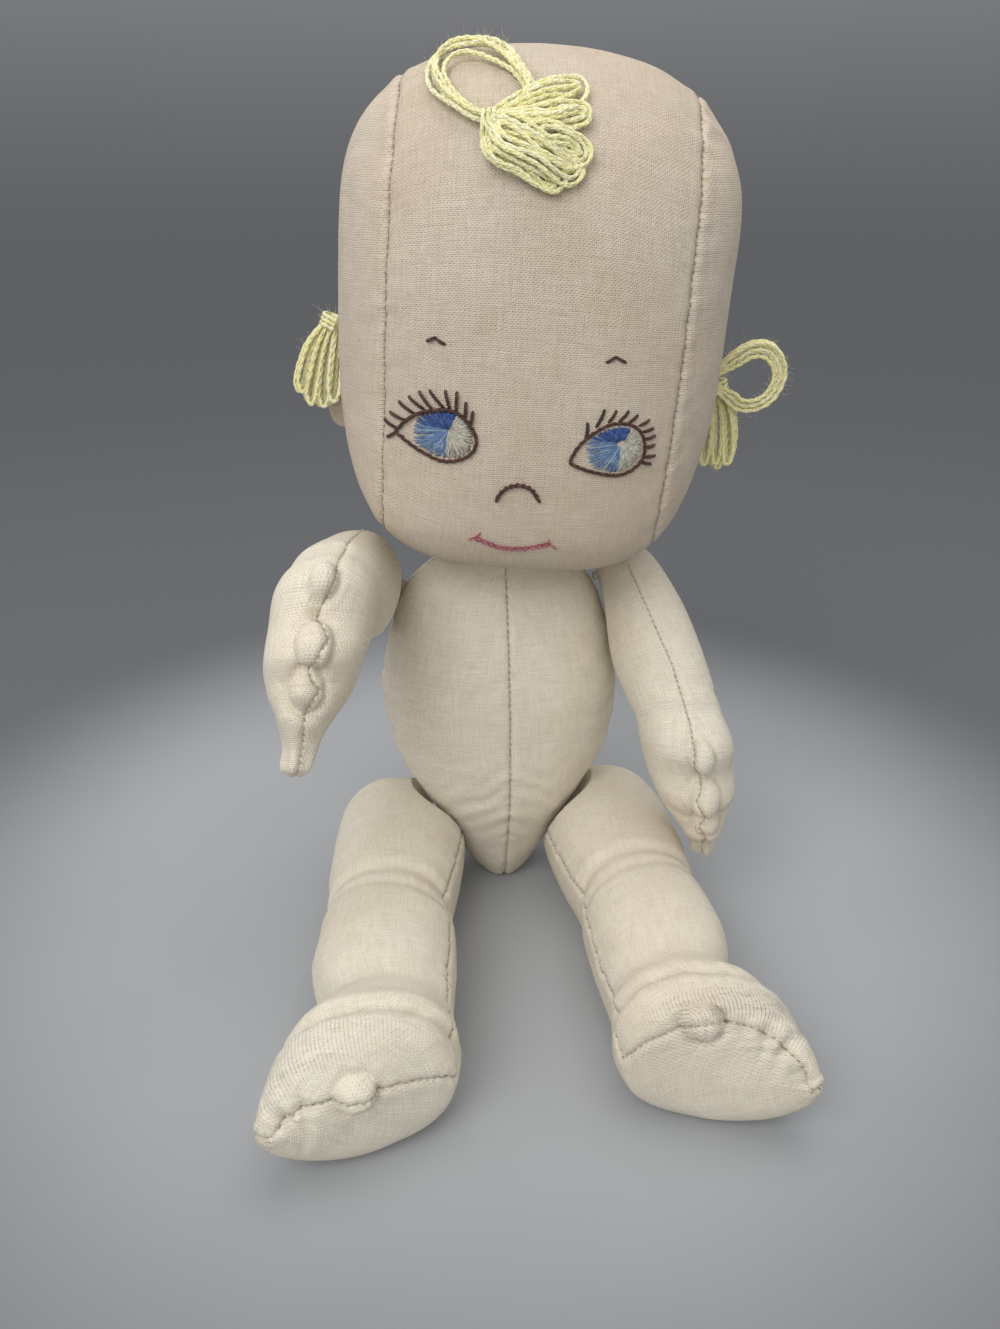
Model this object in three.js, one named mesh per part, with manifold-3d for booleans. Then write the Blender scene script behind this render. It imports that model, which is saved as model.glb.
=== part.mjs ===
import * as THREE from "three";
import { mergeVertices } from "three/addons/utils/BufferGeometryUtils.js";
import Module from "manifold-3d";

// A sitting cloth doll in millimetres, +Z up. It faces -Y and rests on its seat and its legs.
// Left and right are the doll's own, so its left side is +X.

const wasm = await Module();
wasm.setup();

// Cloth, thread and the room between pieces
const cloth = 0.8;
const clearance = 0.3;
const pressDepth = 0.5;
const jointSpace = 2.6;
const weldDistance = 0.0001;
const floss = 0.5;
const shankRadius = 1.4;
const shoulderShankLength = jointSpace - 2 * clearance;
const hipShankLength = jointSpace - 4 * clearance;

// Torso
const torsoHeight = 126;
const torsoHalfWidth = 41;
const torsoFrontDepth = 29;
const torsoBackDepth = 27;
const torsoSquareness = 2.2;

// The origin lies on the back panel's seat, this far behind the side seams.
const seatBehind = 3;

// Neck
const neckRadius = 14;
const neckDrop = 8.7;
const neckRoom = 0.9;
const neckFloss = 0.25;

// Head, where the widest level is the height of its greatest width
const headHalfWidth = 57;
const headAbove = 45;
const headBelow = 95;
const headFrontDepth = 52;
const headBackDepth = 50;
const headOverTorso = 2;
const headOffset = 5;
const gussetHalfWidth = 40;
const outlineSquareness = 2.4;
const jawSquareness = 3.6;
const depthSquareness = 2.6;
const crownSquareness = 2.4;
const chinSquareness = 5.4;
const headTurn = -7;
const headTilt = 4;

// How far below the widest level things lie, in shares of the head's depth below it
const browShare = 0.316;
const eyeShare = 0.532;
const noseShare = 0.726;
const mouthShare = 0.863;
const earShare = 0.6;
const leftTuftShare = 0.421;
const rightTuftShare = 0.305;

// Ears
const earHeight = 15;
const earReach = 9;
const earThickness = 4.5;
const earBelowLevel = earShare * headBelow;

// Face, where places are measured from the widest level and the middle of the face
const faceOffset = -1.4;
const eyeSpacing = 23.2;
const eyeBelowLevel = eyeShare * headBelow;
const eyeWidth = 21;
const eyeHeight = 13.6;
const irisHalfWidth = 5.6;
const irisHalfHeight = 5;
const irisOffset = 3.4;
const flossWidth = 1.1;
const satinThickness = 0.6;
const lashLength = 6;
const browSpacing = 23.4;
const browBelowLevel = browShare * headBelow;
const browWidth = 5;
const browRise = 2;
const noseBelowLevel = noseShare * headBelow;
const noseWidth = 11.4;
const noseRise = 5;
const mouthBelowLevel = mouthShare * headBelow;
const mouthWidth = 22;
const mouthDrop = 2.2;
const mouthFlick = 2.2;

// Yarn hair
const yarnBundle = 4.6;
const topTuftSide = -16.5;
const topTuftShare = 0.533;
const topTuftAboveLevel = topTuftShare * headAbove;
const topTuftLength = 27;
const topTuftWidth = 22;
const topTuftThickness = 8;
const topRingLength = 14;
const topRingWidth = 25;
const ringStart = 2;
const sideTuftLength = 28;
const sideTuftWidth = 13;
const sideTuftThickness = 8;
const leftTuftBelowLevel = leftTuftShare * headBelow;
const rightTuftBelowLevel = rightTuftShare * headBelow;
const sideTuftBehind = 2;
const sideRingLength = 23;
const sideRingWidth = 21;

// The ears lie just behind the hanging tufts.
const earBehind = sideTuftBehind + sideTuftWidth / 2 + earThickness / 2 + clearance;

// Arms, measured from the shoulder along the middle of the arm
const shoulderBelowTop = 13;
const shoulderHeight = torsoHeight - shoulderBelowTop;
const shoulderHalfSpacing = 43;
const armTop = 9;
const armLength = 104;
const armFrontReach = 16.5;
const armBackReach = 15.5;
const armHalfThickness = 14;
const bendStart = 38;
const bendEnd = 74;

// Legs, measured from the hip along the middle of the leg
const hipHalfSpacing = 36;
const legTop = 9;
const legLength = 141;
const legHalfWidth = 22.5;
const legHalfThickness = 20.5;
const legInnerLimit = 2;
const hipHeight = legHalfThickness - pressDepth;

// How the limbs lie at rest and how far they swing, in degrees about the axis from side to side
const armLean = 12;
const leftArmPitchAngle = 43;
const leftArmBendAngle = 47;
const leftArmSwingAngles = [-40, 4];
const rightArmPitchAngle = -19;
const rightArmBendAngle = 75;
const rightArmSwingAngles = [0, 60];
const leftLegSplayAngle = 2;
const rightLegSplayAngle = 6;
const hipSwingAngles = [0, 90];
const limbSquareness = 2.3;

// How the hanging tufts stand off the head
const hangSlope = 0.35;

// Counts of faces
const torsoColumnCount = 4;
const headColumnCount = 26;
const gussetRingCount = 6;
const sideRowCount = 4;
const limbColumnCounts = { arm: 5, leg: 7 };
const flossSideCount = 5;
const bundleSideCount = 8;
const ballSegmentCount = 24;
const earColumnCount = 8;
const outlineStepCount = 24;
const strokeStepCount = 4;
const ringStepCount = 22;
const irisRingCount = 2;
const irisColumnAngle = 0.5;
const swingSampleCount = 12;
const bendSampleCount = 24;

// Each row holds a share of the height, then of the half width, the front and the back depth.
const torsoRowShares = [
  [0, 0.05, 0.07, 0.07],
  [0, 0.16, 0.38, 0.24],
  [0.03, 0.26, 0.52, 0.36],
  [0.09, 0.37, 0.64, 0.5],
  [0.16, 0.48, 0.75, 0.65],
  [0.23, 0.6, 0.86, 0.79],
  [0.31, 0.75, 0.95, 0.9],
  [0.44, 0.94, 1, 1],
  [0.58, 1, 1, 1],
  [0.71, 0.95, 0.91, 0.94],
  [0.82, 0.86, 0.78, 0.82],
  [0.9, 0.75, 0.66, 0.69],
  [0.96, 0.56, 0.52, 0.54],
  [1, 0.34, 0.45, 0.48],
  [1, 0.05, 0.07, 0.07],
];

// Each row holds a share of the length, then of the front, back, outer and inner reach.
const armRowShares = [
  [0, 0.09, 0.09, 0.1, 0.1],
  [0.004, 0.5, 0.5, 0.42, 0.42],
  [0.05, 0.9, 0.82, 0.68, 0.66],
  [0.13, 1.08, 0.98, 0.84, 0.8],
  [0.24, 1.12, 1.06, 0.98, 0.94],
  [0.36, 1.02, 1.03, 1.02, 1],
  [0.46, 0.93, 0.92, 0.98, 0.98],
  [0.53, 0.86, 0.82, 0.9, 0.92],
  [0.606, 1.14, 0.9, 0.99, 1],
  [0.67, 0.92, 0.95, 1, 0.99],
  [0.736, 1.06, 0.92, 0.95, 0.93],
  [0.8, 0.8, 0.84, 0.82, 0.8],
  [0.865, 0.86, 0.62, 0.62, 0.6],
  [0.93, 0.46, 0.36, 0.38, 0.36],
  [0.98, 0.3, 0.24, 0.26, 0.26],
  [1, 0.09, 0.09, 0.1, 0.1],
];

// Each row holds a share of the length, of the outer and inner width, and of the thickness above and below.
const legRowShares = [
  [0, 0.08, 0.08, 0.08, 0.08],
  [0.004, 0.55, 0.55, 0.5, 0.5],
  [0.04, 0.82, 0.82, 0.78, 0.8],
  [0.1, 0.97, 0.97, 0.94, 0.96],
  [0.2, 1.02, 1, 1, 1],
  [0.31, 1, 0.97, 0.98, 1],
  [0.4, 0.94, 0.9, 0.92, 0.98],
  [0.46, 0.91, 0.87, 0.88, 0.97],
  [0.52, 0.94, 0.93, 0.93, 0.98],
  [0.6, 0.95, 0.95, 0.95, 1],
  [0.68, 0.84, 0.93, 0.9, 0.98],
  [0.735, 0.68, 0.92, 0.84, 0.96],
  [0.78, 0.82, 0.96, 0.95, 0.99],
  [0.83, 1.03, 1.03, 1.06, 1],
  [0.875, 1.14, 0.98, 1.06, 1],
  [0.92, 1.19, 0.5, 0.9, 0.94],
  [0.955, 1.22, -0.1, 0.66, 0.76],
  [0.985, 1.22, -0.62, 0.36, 0.42],
  [1, 1.12, -0.96, 0.09, 0.09],
];

// Each row holds a share of the length, then of the half width and the thickness.
const tuftRowShares = [
  [0, 0.2, 0.4],
  [0.03, 0.34, 0.7],
  [0.25, 0.62, 1],
  [0.55, 0.9, 1],
  [0.85, 1, 0.9],
  [0.97, 0.8, 0.6],
  [1, 0.4, 0.3],
];

// An ear's rows hold shares of its reach, height and thickness.
const earRowShares = [
  [0, 0.7, 0.7],
  [0.25, 0.9, 1],
  [0.6, 1, 0.9],
  [0.88, 0.75, 0.6],
  [1, 0.3, 0.2],
];

// The eyes' outlines in shares of their width and height, from one corner over the top and round.
const rightEyeShares = [
  [-0.5, 0.04],
  [-0.4, 0.2],
  [-0.26, 0.36],
  [-0.1, 0.47],
  [0.08, 0.5],
  [0.25, 0.46],
  [0.38, 0.32],
  [0.47, 0.08],
  [0.5, -0.15],
  [0.44, -0.36],
  [0.28, -0.49],
  [0.06, -0.5],
  [-0.14, -0.38],
  [-0.3, -0.2],
  [-0.42, -0.08],
];
const leftEyeShares = [
  [-0.5, -0.26],
  [-0.44, -0.08],
  [-0.3, 0.17],
  [-0.14, 0.34],
  [0.02, 0.47],
  [0.18, 0.51],
  [0.33, 0.48],
  [0.44, 0.34],
  [0.5, 0.1],
  [0.49, -0.12],
  [0.42, -0.3],
  [0.28, -0.44],
  [0.1, -0.51],
  [-0.1, -0.48],
  [-0.28, -0.43],
  [-0.42, -0.37],
];

// Where the lashes start and end, in shares of the outline, and how they fan, in degrees from upright.
const lashCount = 10;
const rightLashShares = [0.02, 0.44];
const rightLashAngles = [-55, 10];
const leftLashShares = [0.13, 0.65];
const leftLashAngles = [0, 100];

// Where the iris changes colour, in shares of a turn, and the hub it leaves open
const irisTurnShares = [-0.15, 0.13, 0.5, 0.85];
const irisHubShare = 0.12;

// Shares along an arc, round a ring of yarn and along its neck, and of a bunch where its tie lies
const arcShares = [-1, -0.6, 0, 0.6, 1];
const ringTurnShares = [0.09, 0.18, 0.28, 0.4, 0.5, 0.6, 0.72, 0.82, 0.91];
const ringNeckShare = 0.4;
const tieRowShares = [0.12, 0.5, 0.85];
const tieSquareness = 4;
const bunchHeadingShares = [0.86, -0.5];
const ringHeadingShares = [-0.35, 0.94];

const muslin = new THREE.MeshStandardMaterial({ color: 0xd9cfbd, roughness: 0.9, metalness: 0 });
const fibre = new THREE.MeshStandardMaterial({ color: 0xf0ece2, roughness: 1, metalness: 0 });
const brownFloss = new THREE.MeshStandardMaterial({ color: 0x3a1e16, roughness: 0.6, metalness: 0 });
const darkBlueFloss = new THREE.MeshStandardMaterial({ color: 0x2f4f9a, roughness: 0.5, metalness: 0 });
const paleBlueFloss = new THREE.MeshStandardMaterial({ color: 0x7f9cc4, roughness: 0.5, metalness: 0 });
const creamFloss = new THREE.MeshStandardMaterial({ color: 0xd8cfb8, roughness: 0.5, metalness: 0 });
const pinkFloss = new THREE.MeshStandardMaterial({ color: 0xbe5a6e, roughness: 0.6, metalness: 0 });
const yarn = new THREE.MeshStandardMaterial({ color: 0xdcd48c, roughness: 0.95, metalness: 0 });
const thread = new THREE.MeshStandardMaterial({ color: 0xc9bfa9, roughness: 0.8, metalness: 0 });

const doll = new THREE.Group();

function addMesh(group, name, geometry, material) {
  const mesh = new THREE.Mesh(geometry, material);
  mesh.name = name;
  group.add(mesh);
  return mesh;
}

// Closed geometry from a list of points and a list of triangles, turned to face outwards.
function closedGeometry(points, triangles) {
  const flat = points.flatMap((p) => [p.x, p.y, p.z]);
  let geometry = new THREE.BufferGeometry();
  geometry.setAttribute("position", new THREE.Float32BufferAttribute(flat, 3));
  geometry.setIndex(triangles.flat());
  geometry = mergeVertices(geometry, weldDistance);
  const index = geometry.index.array;
  const kept = [];
  for (let i = 0; i < index.length; i += 3) {
    const [a, b, c] = index.slice(i, i + 3);
    if (a !== b && b !== c && a !== c) kept.push([a, b, c]);
  }
  const corner = (i) => new THREE.Vector3().fromBufferAttribute(geometry.attributes.position, i);
  const volume = kept.reduce((sum, [a, b, c]) => sum + corner(a).dot(corner(b).cross(corner(c))), 0);
  geometry.setIndex(kept.flatMap(([a, b, c]) => (volume < 0 ? [a, c, b] : [a, b, c])));
  geometry.computeVertexNormals();
  return geometry;
}

// A grid of rows and columns of points as a list of triangles between their indices.
function gridTriangles(rows, columns, first) {
  const triangles = [];
  for (let i = 0; i < rows; i += 1) {
    for (let j = 0; j < columns; j += 1) {
      const a = first + i * (columns + 1) + j;
      const b = a + columns + 1;
      triangles.push([a, b, b + 1], [a, b + 1, a + 1]);
    }
  }
  return triangles;
}

// A sheet of cloth: an outer and an inner layer of grid points, joined along the open edges.
function sheetGeometry(outer, inner, rows, columns, isRound = false) {
  const points = [];
  [outer, inner].forEach((layer) => {
    for (let i = 0; i <= rows; i += 1) for (let j = 0; j <= columns; j += 1) points.push(layer(i, j));
  });
  const layerSize = (rows + 1) * (columns + 1);
  const front = gridTriangles(rows, columns, 0);
  const back = gridTriangles(rows, columns, layerSize).map(([a, b, c]) => [a, c, b]);
  const at = (i, j) => i * (columns + 1) + j;
  const rim = [];
  const joinEdge = (a, b) => rim.push([a, b, b + layerSize], [a, b + layerSize, a + layerSize]);
  for (let j = 0; j < columns; j += 1) {
    joinEdge(at(0, j), at(0, j + 1));
    joinEdge(at(rows, j + 1), at(rows, j));
  }
  if (!isRound) {
    for (let i = 0; i < rows; i += 1) {
      joinEdge(at(i + 1, 0), at(i, 0));
      joinEdge(at(i, columns), at(i + 1, columns));
    }
  }
  return closedGeometry(points, [...front, ...back, ...rim]);
}

// A stuffed solid: one layer of closed rings, with a fan over each end.
function fillGeometry(layer, rows, columns) {
  const points = [];
  for (let i = 0; i <= rows; i += 1) for (let j = 0; j <= columns; j += 1) points.push(layer(i, j));
  const triangles = gridTriangles(rows, columns, 0);
  [0, rows].forEach((row) => {
    const ring = points.slice(row * (columns + 1), row * (columns + 1) + columns);
    const middle = ring.reduce((sum, p) => sum.add(p), new THREE.Vector3()).divideScalar(columns);
    points.push(middle);
    const hub = points.length - 1;
    for (let j = 0; j < columns; j += 1) {
      const a = row * (columns + 1) + j;
      triangles.push(row === 0 ? [hub, a, a + 1] : [hub, a + 1, a]);
    }
  });
  return closedGeometry(points, triangles);
}

const signedPower = (value, power) => Math.sign(value) * Math.abs(value) ** power;

// The distance across a superellipse, as a share, at a share of its other axis.
const shareAcross = (share, squareness) => Math.max(0, 1 - Math.abs(share) ** squareness) ** (1 / squareness);

// A point of one closed section. Across runs from its middle, lift runs up or down from its plane.
function sectionPoint(section, angle, inset) {
  const cosine = Math.cos(angle);
  const sine = Math.sin(angle);
  const power = 2 / (cosine < 0 ? section.lowSquareness : section.squareness);
  const lift = (sine < 0 ? section.down : section.up) - inset;
  return {
    across: section.middle + signedPower(cosine, power) * (section.half - inset),
    lift: signedPower(sine, power) * lift,
  };
}

// The angle at which a section comes half a clearance from its plane, so that two cloths can meet there.
function seamAngle(section, inset) {
  const reach = Math.min(section.up, section.down) - inset;
  return Math.asin(Math.min(1, clearance / 2 / reach) ** (section.squareness / 2));
}

// The same for a seam that runs over the top of the sections.
function middleSeamAngle(section, inset) {
  return Math.asin(Math.min(1, clearance / 2 / (section.half - inset)) ** (section.squareness / 2));
}

// A form is a list of sections with a place for each of their points.
function formPoint(form, row, angle, inset) {
  const { sections, place } = form;
  const section = sections[row];
  const first = sections[0].along + inset;
  const last = sections[sections.length - 1].along - inset;
  const along = THREE.MathUtils.clamp(section.along, first, last);
  const { across, lift } = sectionPoint(section, angle, inset);
  return place(along, across, lift, inset);
}

// One cloth panel of a form, between two angles of its sections. A middle edge lies over the top.
function panelGeometry(form, start, end, columns) {
  const edgeTrim = (section, angle, inset) =>
    Math.abs(Math.cos(angle)) < 0.5 ? middleSeamAngle(section, inset) : seamAngle(section, inset);
  const layer = (inset) => (row, column) => {
    const section = form.sections[row];
    let angle = THREE.MathUtils.lerp(start, end, column / columns);
    if (column === 0) angle += edgeTrim(section, start, inset);
    if (column === columns) angle -= edgeTrim(section, end, inset);
    return formPoint(form, row, angle, inset);
  };
  return sheetGeometry(layer(0), layer(cloth), form.sections.length - 1, columns);
}

function stuffingGeometry(form, columns) {
  const layer = (row, column) =>
    formPoint(form, row, (2 * Math.PI * (column % columns)) / columns, cloth + clearance);
  return fillGeometry(layer, form.sections.length - 1, columns);
}

// Geometry to a solid and back, for the one cut that the head needs.
function solidOf(geometry) {
  const bare = geometry.clone();
  bare.deleteAttribute("normal");
  bare.deleteAttribute("uv");
  const merged = mergeVertices(bare, weldDistance);
  return new wasm.Manifold(
    new wasm.Mesh({
      numProp: 3,
      vertProperties: merged.attributes.position.array,
      triVerts: new Uint32Array(merged.index.array),
    }),
  );
}

function geometryOf(solid) {
  const mesh = solid.getMesh();
  const geometry = new THREE.BufferGeometry();
  geometry.setAttribute("position", new THREE.BufferAttribute(new Float32Array(mesh.vertProperties), 3));
  geometry.setIndex(new THREE.BufferAttribute(mesh.triVerts, 1));
  geometry.computeVertexNormals();
  return geometry;
}

// A round thread along a list of points.
function threadGeometry(points, radius, steps, sides) {
  const circle = new THREE.Shape();
  for (let i = 0; i < sides; i += 1) {
    const angle = (2 * Math.PI * i) / sides;
    const [x, y] = [radius * Math.cos(angle), radius * Math.sin(angle)];
    if (i === 0) circle.moveTo(x, y);
    else circle.lineTo(x, y);
  }
  circle.closePath();
  const curve = new THREE.CatmullRomCurve3(points, false, "centripetal");
  return new THREE.ExtrudeGeometry(circle, { steps, extrudePath: curve, bevelEnabled: false });
}

// Torso

const torsoForm = {
  sections: torsoRowShares.map(([along, half, front, back]) => ({
    along: along * torsoHeight,
    middle: 0,
    half: half * torsoHalfWidth,
    up: front * torsoFrontDepth,
    down: back * torsoBackDepth,
    squareness: torsoSquareness,
    lowSquareness: torsoSquareness,
  })),
  place: (along, across, lift) => new THREE.Vector3(across, -lift, along),
};

// Half the torso's width at a depth and a height, grown by a margin, or 0 outside it.
function torsoHalfWidthAt(y, z, margin) {
  const { sections } = torsoForm;
  const height = THREE.MathUtils.clamp(z, 0, torsoHeight);
  if (Math.abs(z - height) > margin) return 0;
  const upper = Math.max(1, sections.findIndex((section) => section.along >= height));
  const [low, high] = [sections[upper - 1], sections[upper]];
  const span = high.along - low.along;
  const share = span > 0 ? (height - low.along) / span : 1;
  const between = (key) => THREE.MathUtils.lerp(low[key], high[key], share);
  const depth = between(y < 0 ? "up" : "down") + margin;
  return (between("half") + margin) * shareAcross(y / depth, torsoSquareness);
}

function buildTorso() {
  const group = new THREE.Group();
  const frontMiddle = Math.PI / 2;
  const left = panelGeometry(torsoForm, 0, frontMiddle, torsoColumnCount);
  const right = panelGeometry(torsoForm, frontMiddle, Math.PI, torsoColumnCount);
  const back = panelGeometry(torsoForm, Math.PI, 2 * Math.PI, 2 * torsoColumnCount);
  addMesh(group, "torso_front_left", left, muslin);
  addMesh(group, "torso_front_right", right, muslin);
  addMesh(group, "torso_back", back, muslin);
  addMesh(group, "torso_stuffing", stuffingGeometry(torsoForm, 4 * torsoColumnCount), fibre);
  return group;
}

// Neck: a stuffed knob, flat where it is sewn to the torso, on which the head nods and turns

const neckCentreHeight = torsoHeight + clearance + neckDrop;
const neckFootRadius = Math.sqrt(neckRadius ** 2 - neckDrop ** 2);

function buildNeck() {
  const group = new THREE.Group();
  const profile = [new THREE.Vector2(0, -neckDrop)];
  const footAngle = Math.asin(-neckDrop / neckRadius);
  const steps = ballSegmentCount / 2;
  for (let i = 0; i <= steps; i += 1) {
    const angle = THREE.MathUtils.lerp(footAngle, Math.PI / 2, i / steps);
    const x = i === steps ? 0 : neckRadius * Math.cos(angle);
    profile.push(new THREE.Vector2(x, neckRadius * Math.sin(angle)));
  }
  const knob = addMesh(group, "neck", new THREE.LatheGeometry(profile, ballSegmentCount), muslin);
  knob.rotation.x = Math.PI / 2;
  knob.position.z = neckCentreHeight;
  const ringRadius = neckFootRadius + clearance + 2 * neckFloss;
  const ring = new THREE.TorusGeometry(ringRadius, neckFloss, flossSideCount, ballSegmentCount);
  addMesh(group, "neck_thread", ring, thread).position.z = torsoHeight + clearance + neckFloss;
  return group;
}

// Head

const headLevel = torsoHeight + headOverTorso + headBelow;

// The head's section at a distance from its middle plane, for the outside or for a layer under it.
function headSection(x, inset) {
  const share = Math.min(1, Math.abs(x) / (headHalfWidth - inset));
  const depth = shareAcross(share, depthSquareness);
  const top = (headAbove - inset) * shareAcross(share, outlineSquareness);
  const bottom = (headBelow - inset) * shareAcross(share, jawSquareness);
  return {
    middle: headLevel + (top - bottom) / 2,
    half: (top + bottom) / 2,
    up: (headFrontDepth - inset) * depth,
    down: (headBackDepth - inset) * depth,
    squareness: crownSquareness,
    lowSquareness: chinSquareness,
  };
}

function headPoint(x, angle, inset) {
  const { across, lift } = sectionPoint(headSection(x, inset), angle, 0);
  return new THREE.Vector3(x, -lift, across);
}

// A point on or over the face, by its place from the middle of the head and from the widest level.
function facePoint(x, level, lift) {
  const surface = (px, pz) => {
    const section = headSection(px, 0);
    const share = (pz - section.middle) / section.half;
    const squareness = share < 0 ? section.lowSquareness : section.squareness;
    return new THREE.Vector3(px, -section.up * shareAcross(share, squareness), pz);
  };
  const z = headLevel + level;
  const point = surface(x, z);
  const acrossFace = surface(x + floss, z).sub(point);
  const upFace = surface(x, z + floss).sub(point);
  return point.addScaledVector(acrossFace.cross(upFace).normalize(), lift);
}

// The distance of each ring from the middle plane, from one seam to the other, and on to the side.
const seamTurn = Math.asin((gussetHalfWidth / headHalfWidth) ** (outlineSquareness / 2));
const ringShare = (turn) => signedPower(Math.sin(turn), 2 / outlineSquareness);

const columnAngle = (column) => (2 * Math.PI * (column % headColumnCount)) / headColumnCount;

function gussetGeometry() {
  const layer = (inset) => (row, column) => {
    const turn = THREE.MathUtils.lerp(-seamTurn, seamTurn, row / gussetRingCount);
    const edge = row === 0 || row === gussetRingCount ? clearance / 2 : 0;
    const x = headHalfWidth * ringShare(turn);
    return headPoint(x - Math.sign(x) * edge, columnAngle(column), inset);
  };
  return sheetGeometry(layer(0), layer(cloth), gussetRingCount, headColumnCount, true);
}

function headSideGeometry(side) {
  const layer = (inset) => (row, column) => {
    const turn = THREE.MathUtils.lerp(seamTurn, Math.PI / 2, row / sideRowCount);
    const reach = row === sideRowCount ? headHalfWidth - inset : headHalfWidth * ringShare(turn);
    const edge = row === 0 ? clearance / 2 : 0;
    return headPoint(side * (reach + edge), columnAngle(column), inset);
  };
  return sheetGeometry(layer(0), layer(cloth), sideRowCount, headColumnCount, true);
}

function headStuffingGeometry() {
  const inset = cloth + clearance;
  const rings = gussetRingCount + 2 * sideRowCount;
  const layer = (row, column) => {
    const fromSeam = Math.abs(row - rings / 2) - gussetRingCount / 2;
    const turn =
      fromSeam <= 0
        ? (seamTurn * (row - rings / 2)) / (gussetRingCount / 2)
        : Math.sign(row - rings / 2) * THREE.MathUtils.lerp(seamTurn, Math.PI / 2, fromSeam / sideRowCount);
    const isPole = row === 0 || row === rings;
    const x = isPole ? Math.sign(turn) * (headHalfWidth - inset) : headHalfWidth * ringShare(turn);
    return headPoint(x, columnAngle(column), inset);
  };
  return fillGeometry(layer, rings, headColumnCount);
}

function cutForNeck(geometry) {
  const ball = new THREE.SphereGeometry(neckRadius + neckRoom, ballSegmentCount, ballSegmentCount / 2);
  ball.translate(-headOffset, 0, neckCentreHeight);
  return geometryOf(solidOf(geometry).subtract(solidOf(ball)));
}

// The sideways reach of the head at a level.
const headReachAt = (level) =>
  level < 0
    ? headHalfWidth * shareAcross(level / headBelow, jawSquareness)
    : headHalfWidth * shareAcross(level / headAbove, outlineSquareness);

// An ear: a small stuffed pillow whose root follows the side of the head
function earGeometry(side) {
  const layer = (row, column) => {
    const [outShare, heightShare, thickShare] = earRowShares[row];
    const angle = (2 * Math.PI * (column % earColumnCount)) / earColumnCount;
    const level = -earBelowLevel + (earHeight / 2) * heightShare * Math.cos(angle);
    const back = (earThickness / 2) * thickShare * Math.sin(angle);
    const x = headReachAt(level) + clearance + earReach * outShare;
    return new THREE.Vector3(side * x, earBehind + back, headLevel + level);
  };
  return fillGeometry(layer, earRowShares.length - 1, earColumnCount);
}

// Embroidery

function strokeGeometry(places, steps) {
  const lift = clearance + flossWidth / 2;
  const points = places.map(([x, level]) => facePoint(faceOffset + x, level, lift));
  return threadGeometry(points, flossWidth / 2, steps, flossSideCount);
}

// The outline of an eye, joined with the lashes that fan out from it
function eyeOutlineGeometry(side, outlineShares, lashShares, lashFan) {
  const places = outlineShares.map(([across, up]) => [
    side * eyeSpacing + across * eyeWidth,
    -eyeBelowLevel + up * eyeHeight,
  ]);
  const outline = new THREE.CatmullRomCurve3(places.map(([x, level]) => new THREE.Vector3(x, level, 0)));
  let solid = solidOf(strokeGeometry(places, outlineStepCount));
  for (let i = 0; i < lashCount; i += 1) {
    const share = i / (lashCount - 1);
    const start = outline.getPointAt(THREE.MathUtils.lerp(lashShares[0], lashShares[1], share));
    const lean = THREE.MathUtils.degToRad(THREE.MathUtils.lerp(lashFan[0], lashFan[1], share));
    const end = [start.x + lashLength * Math.sin(lean), start.y + lashLength * Math.cos(lean)];
    solid = solid.add(solidOf(strokeGeometry([[start.x, start.y], end], 1)));
  }
  return geometryOf(solid);
}

// A wedge of the iris in satin stitch, between two angles
function irisGeometry(side, start, end) {
  const columns = Math.ceil((end - start) / irisColumnAngle);
  const layer = (lift) => (row, column) => {
    const radiusShare = THREE.MathUtils.lerp(irisHubShare, 1, row / irisRingCount);
    const trim = clearance / (radiusShare * irisHalfHeight);
    const angle = THREE.MathUtils.lerp(start + trim, end - trim, column / columns);
    const x = side * eyeSpacing + irisOffset + radiusShare * irisHalfWidth * Math.cos(angle);
    const level = -eyeBelowLevel + radiusShare * irisHalfHeight * Math.sin(angle);
    return facePoint(faceOffset + x, level, lift);
  };
  return sheetGeometry(layer(clearance + satinThickness), layer(clearance), irisRingCount, columns);
}

// Places along an arc that rises in its middle
const arcPlaces = (middle, width, below, rise) =>
  arcShares.map((share) => [middle + (share * width) / 2, -below + rise * (1 - share ** 2)]);

function mouthPlaces() {
  const line = arcPlaces(0, mouthWidth, mouthBelowLevel, -mouthDrop);
  const flick = (side) => [side * (mouthWidth + mouthFlick) / 2, -mouthBelowLevel - mouthFlick / 2];
  return [flick(-1), ...line, flick(1)];
}

function addEmbroidery(group) {
  const eyes = [
    ["right", -1, rightEyeShares, rightLashShares, rightLashAngles],
    ["left", 1, leftEyeShares, leftLashShares, leftLashAngles],
  ];
  const wedges = [
    ["cream", irisTurnShares[0], irisTurnShares[1], creamFloss],
    ["dark", irisTurnShares[1], irisTurnShares[2], darkBlueFloss],
    ["pale", irisTurnShares[2], irisTurnShares[3], paleBlueFloss],
  ];
  eyes.forEach(([name, side, outlineShares, lashShares, lashFan]) => {
    const outline = eyeOutlineGeometry(side, outlineShares, lashShares, lashFan);
    addMesh(group, `eye_outline_${name}`, outline, brownFloss);
    wedges.forEach(([wedge, startShare, endShare, material]) => {
      const geometry = irisGeometry(side, 2 * Math.PI * startShare, 2 * Math.PI * endShare);
      addMesh(group, `iris_${wedge}_${name}`, geometry, material);
    });
    const brow = arcPlaces(side * browSpacing, browWidth, browBelowLevel, browRise);
    addMesh(group, `brow_${name}`, strokeGeometry(brow, strokeStepCount), brownFloss);
  });
  const nose = arcPlaces(0, noseWidth, noseBelowLevel, noseRise);
  addMesh(group, "nose_stitch", strokeGeometry(nose, strokeStepCount), brownFloss);
  addMesh(group, "mouth_stitch", strokeGeometry(mouthPlaces(), 2 * strokeStepCount), pinkFloss);
}

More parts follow.
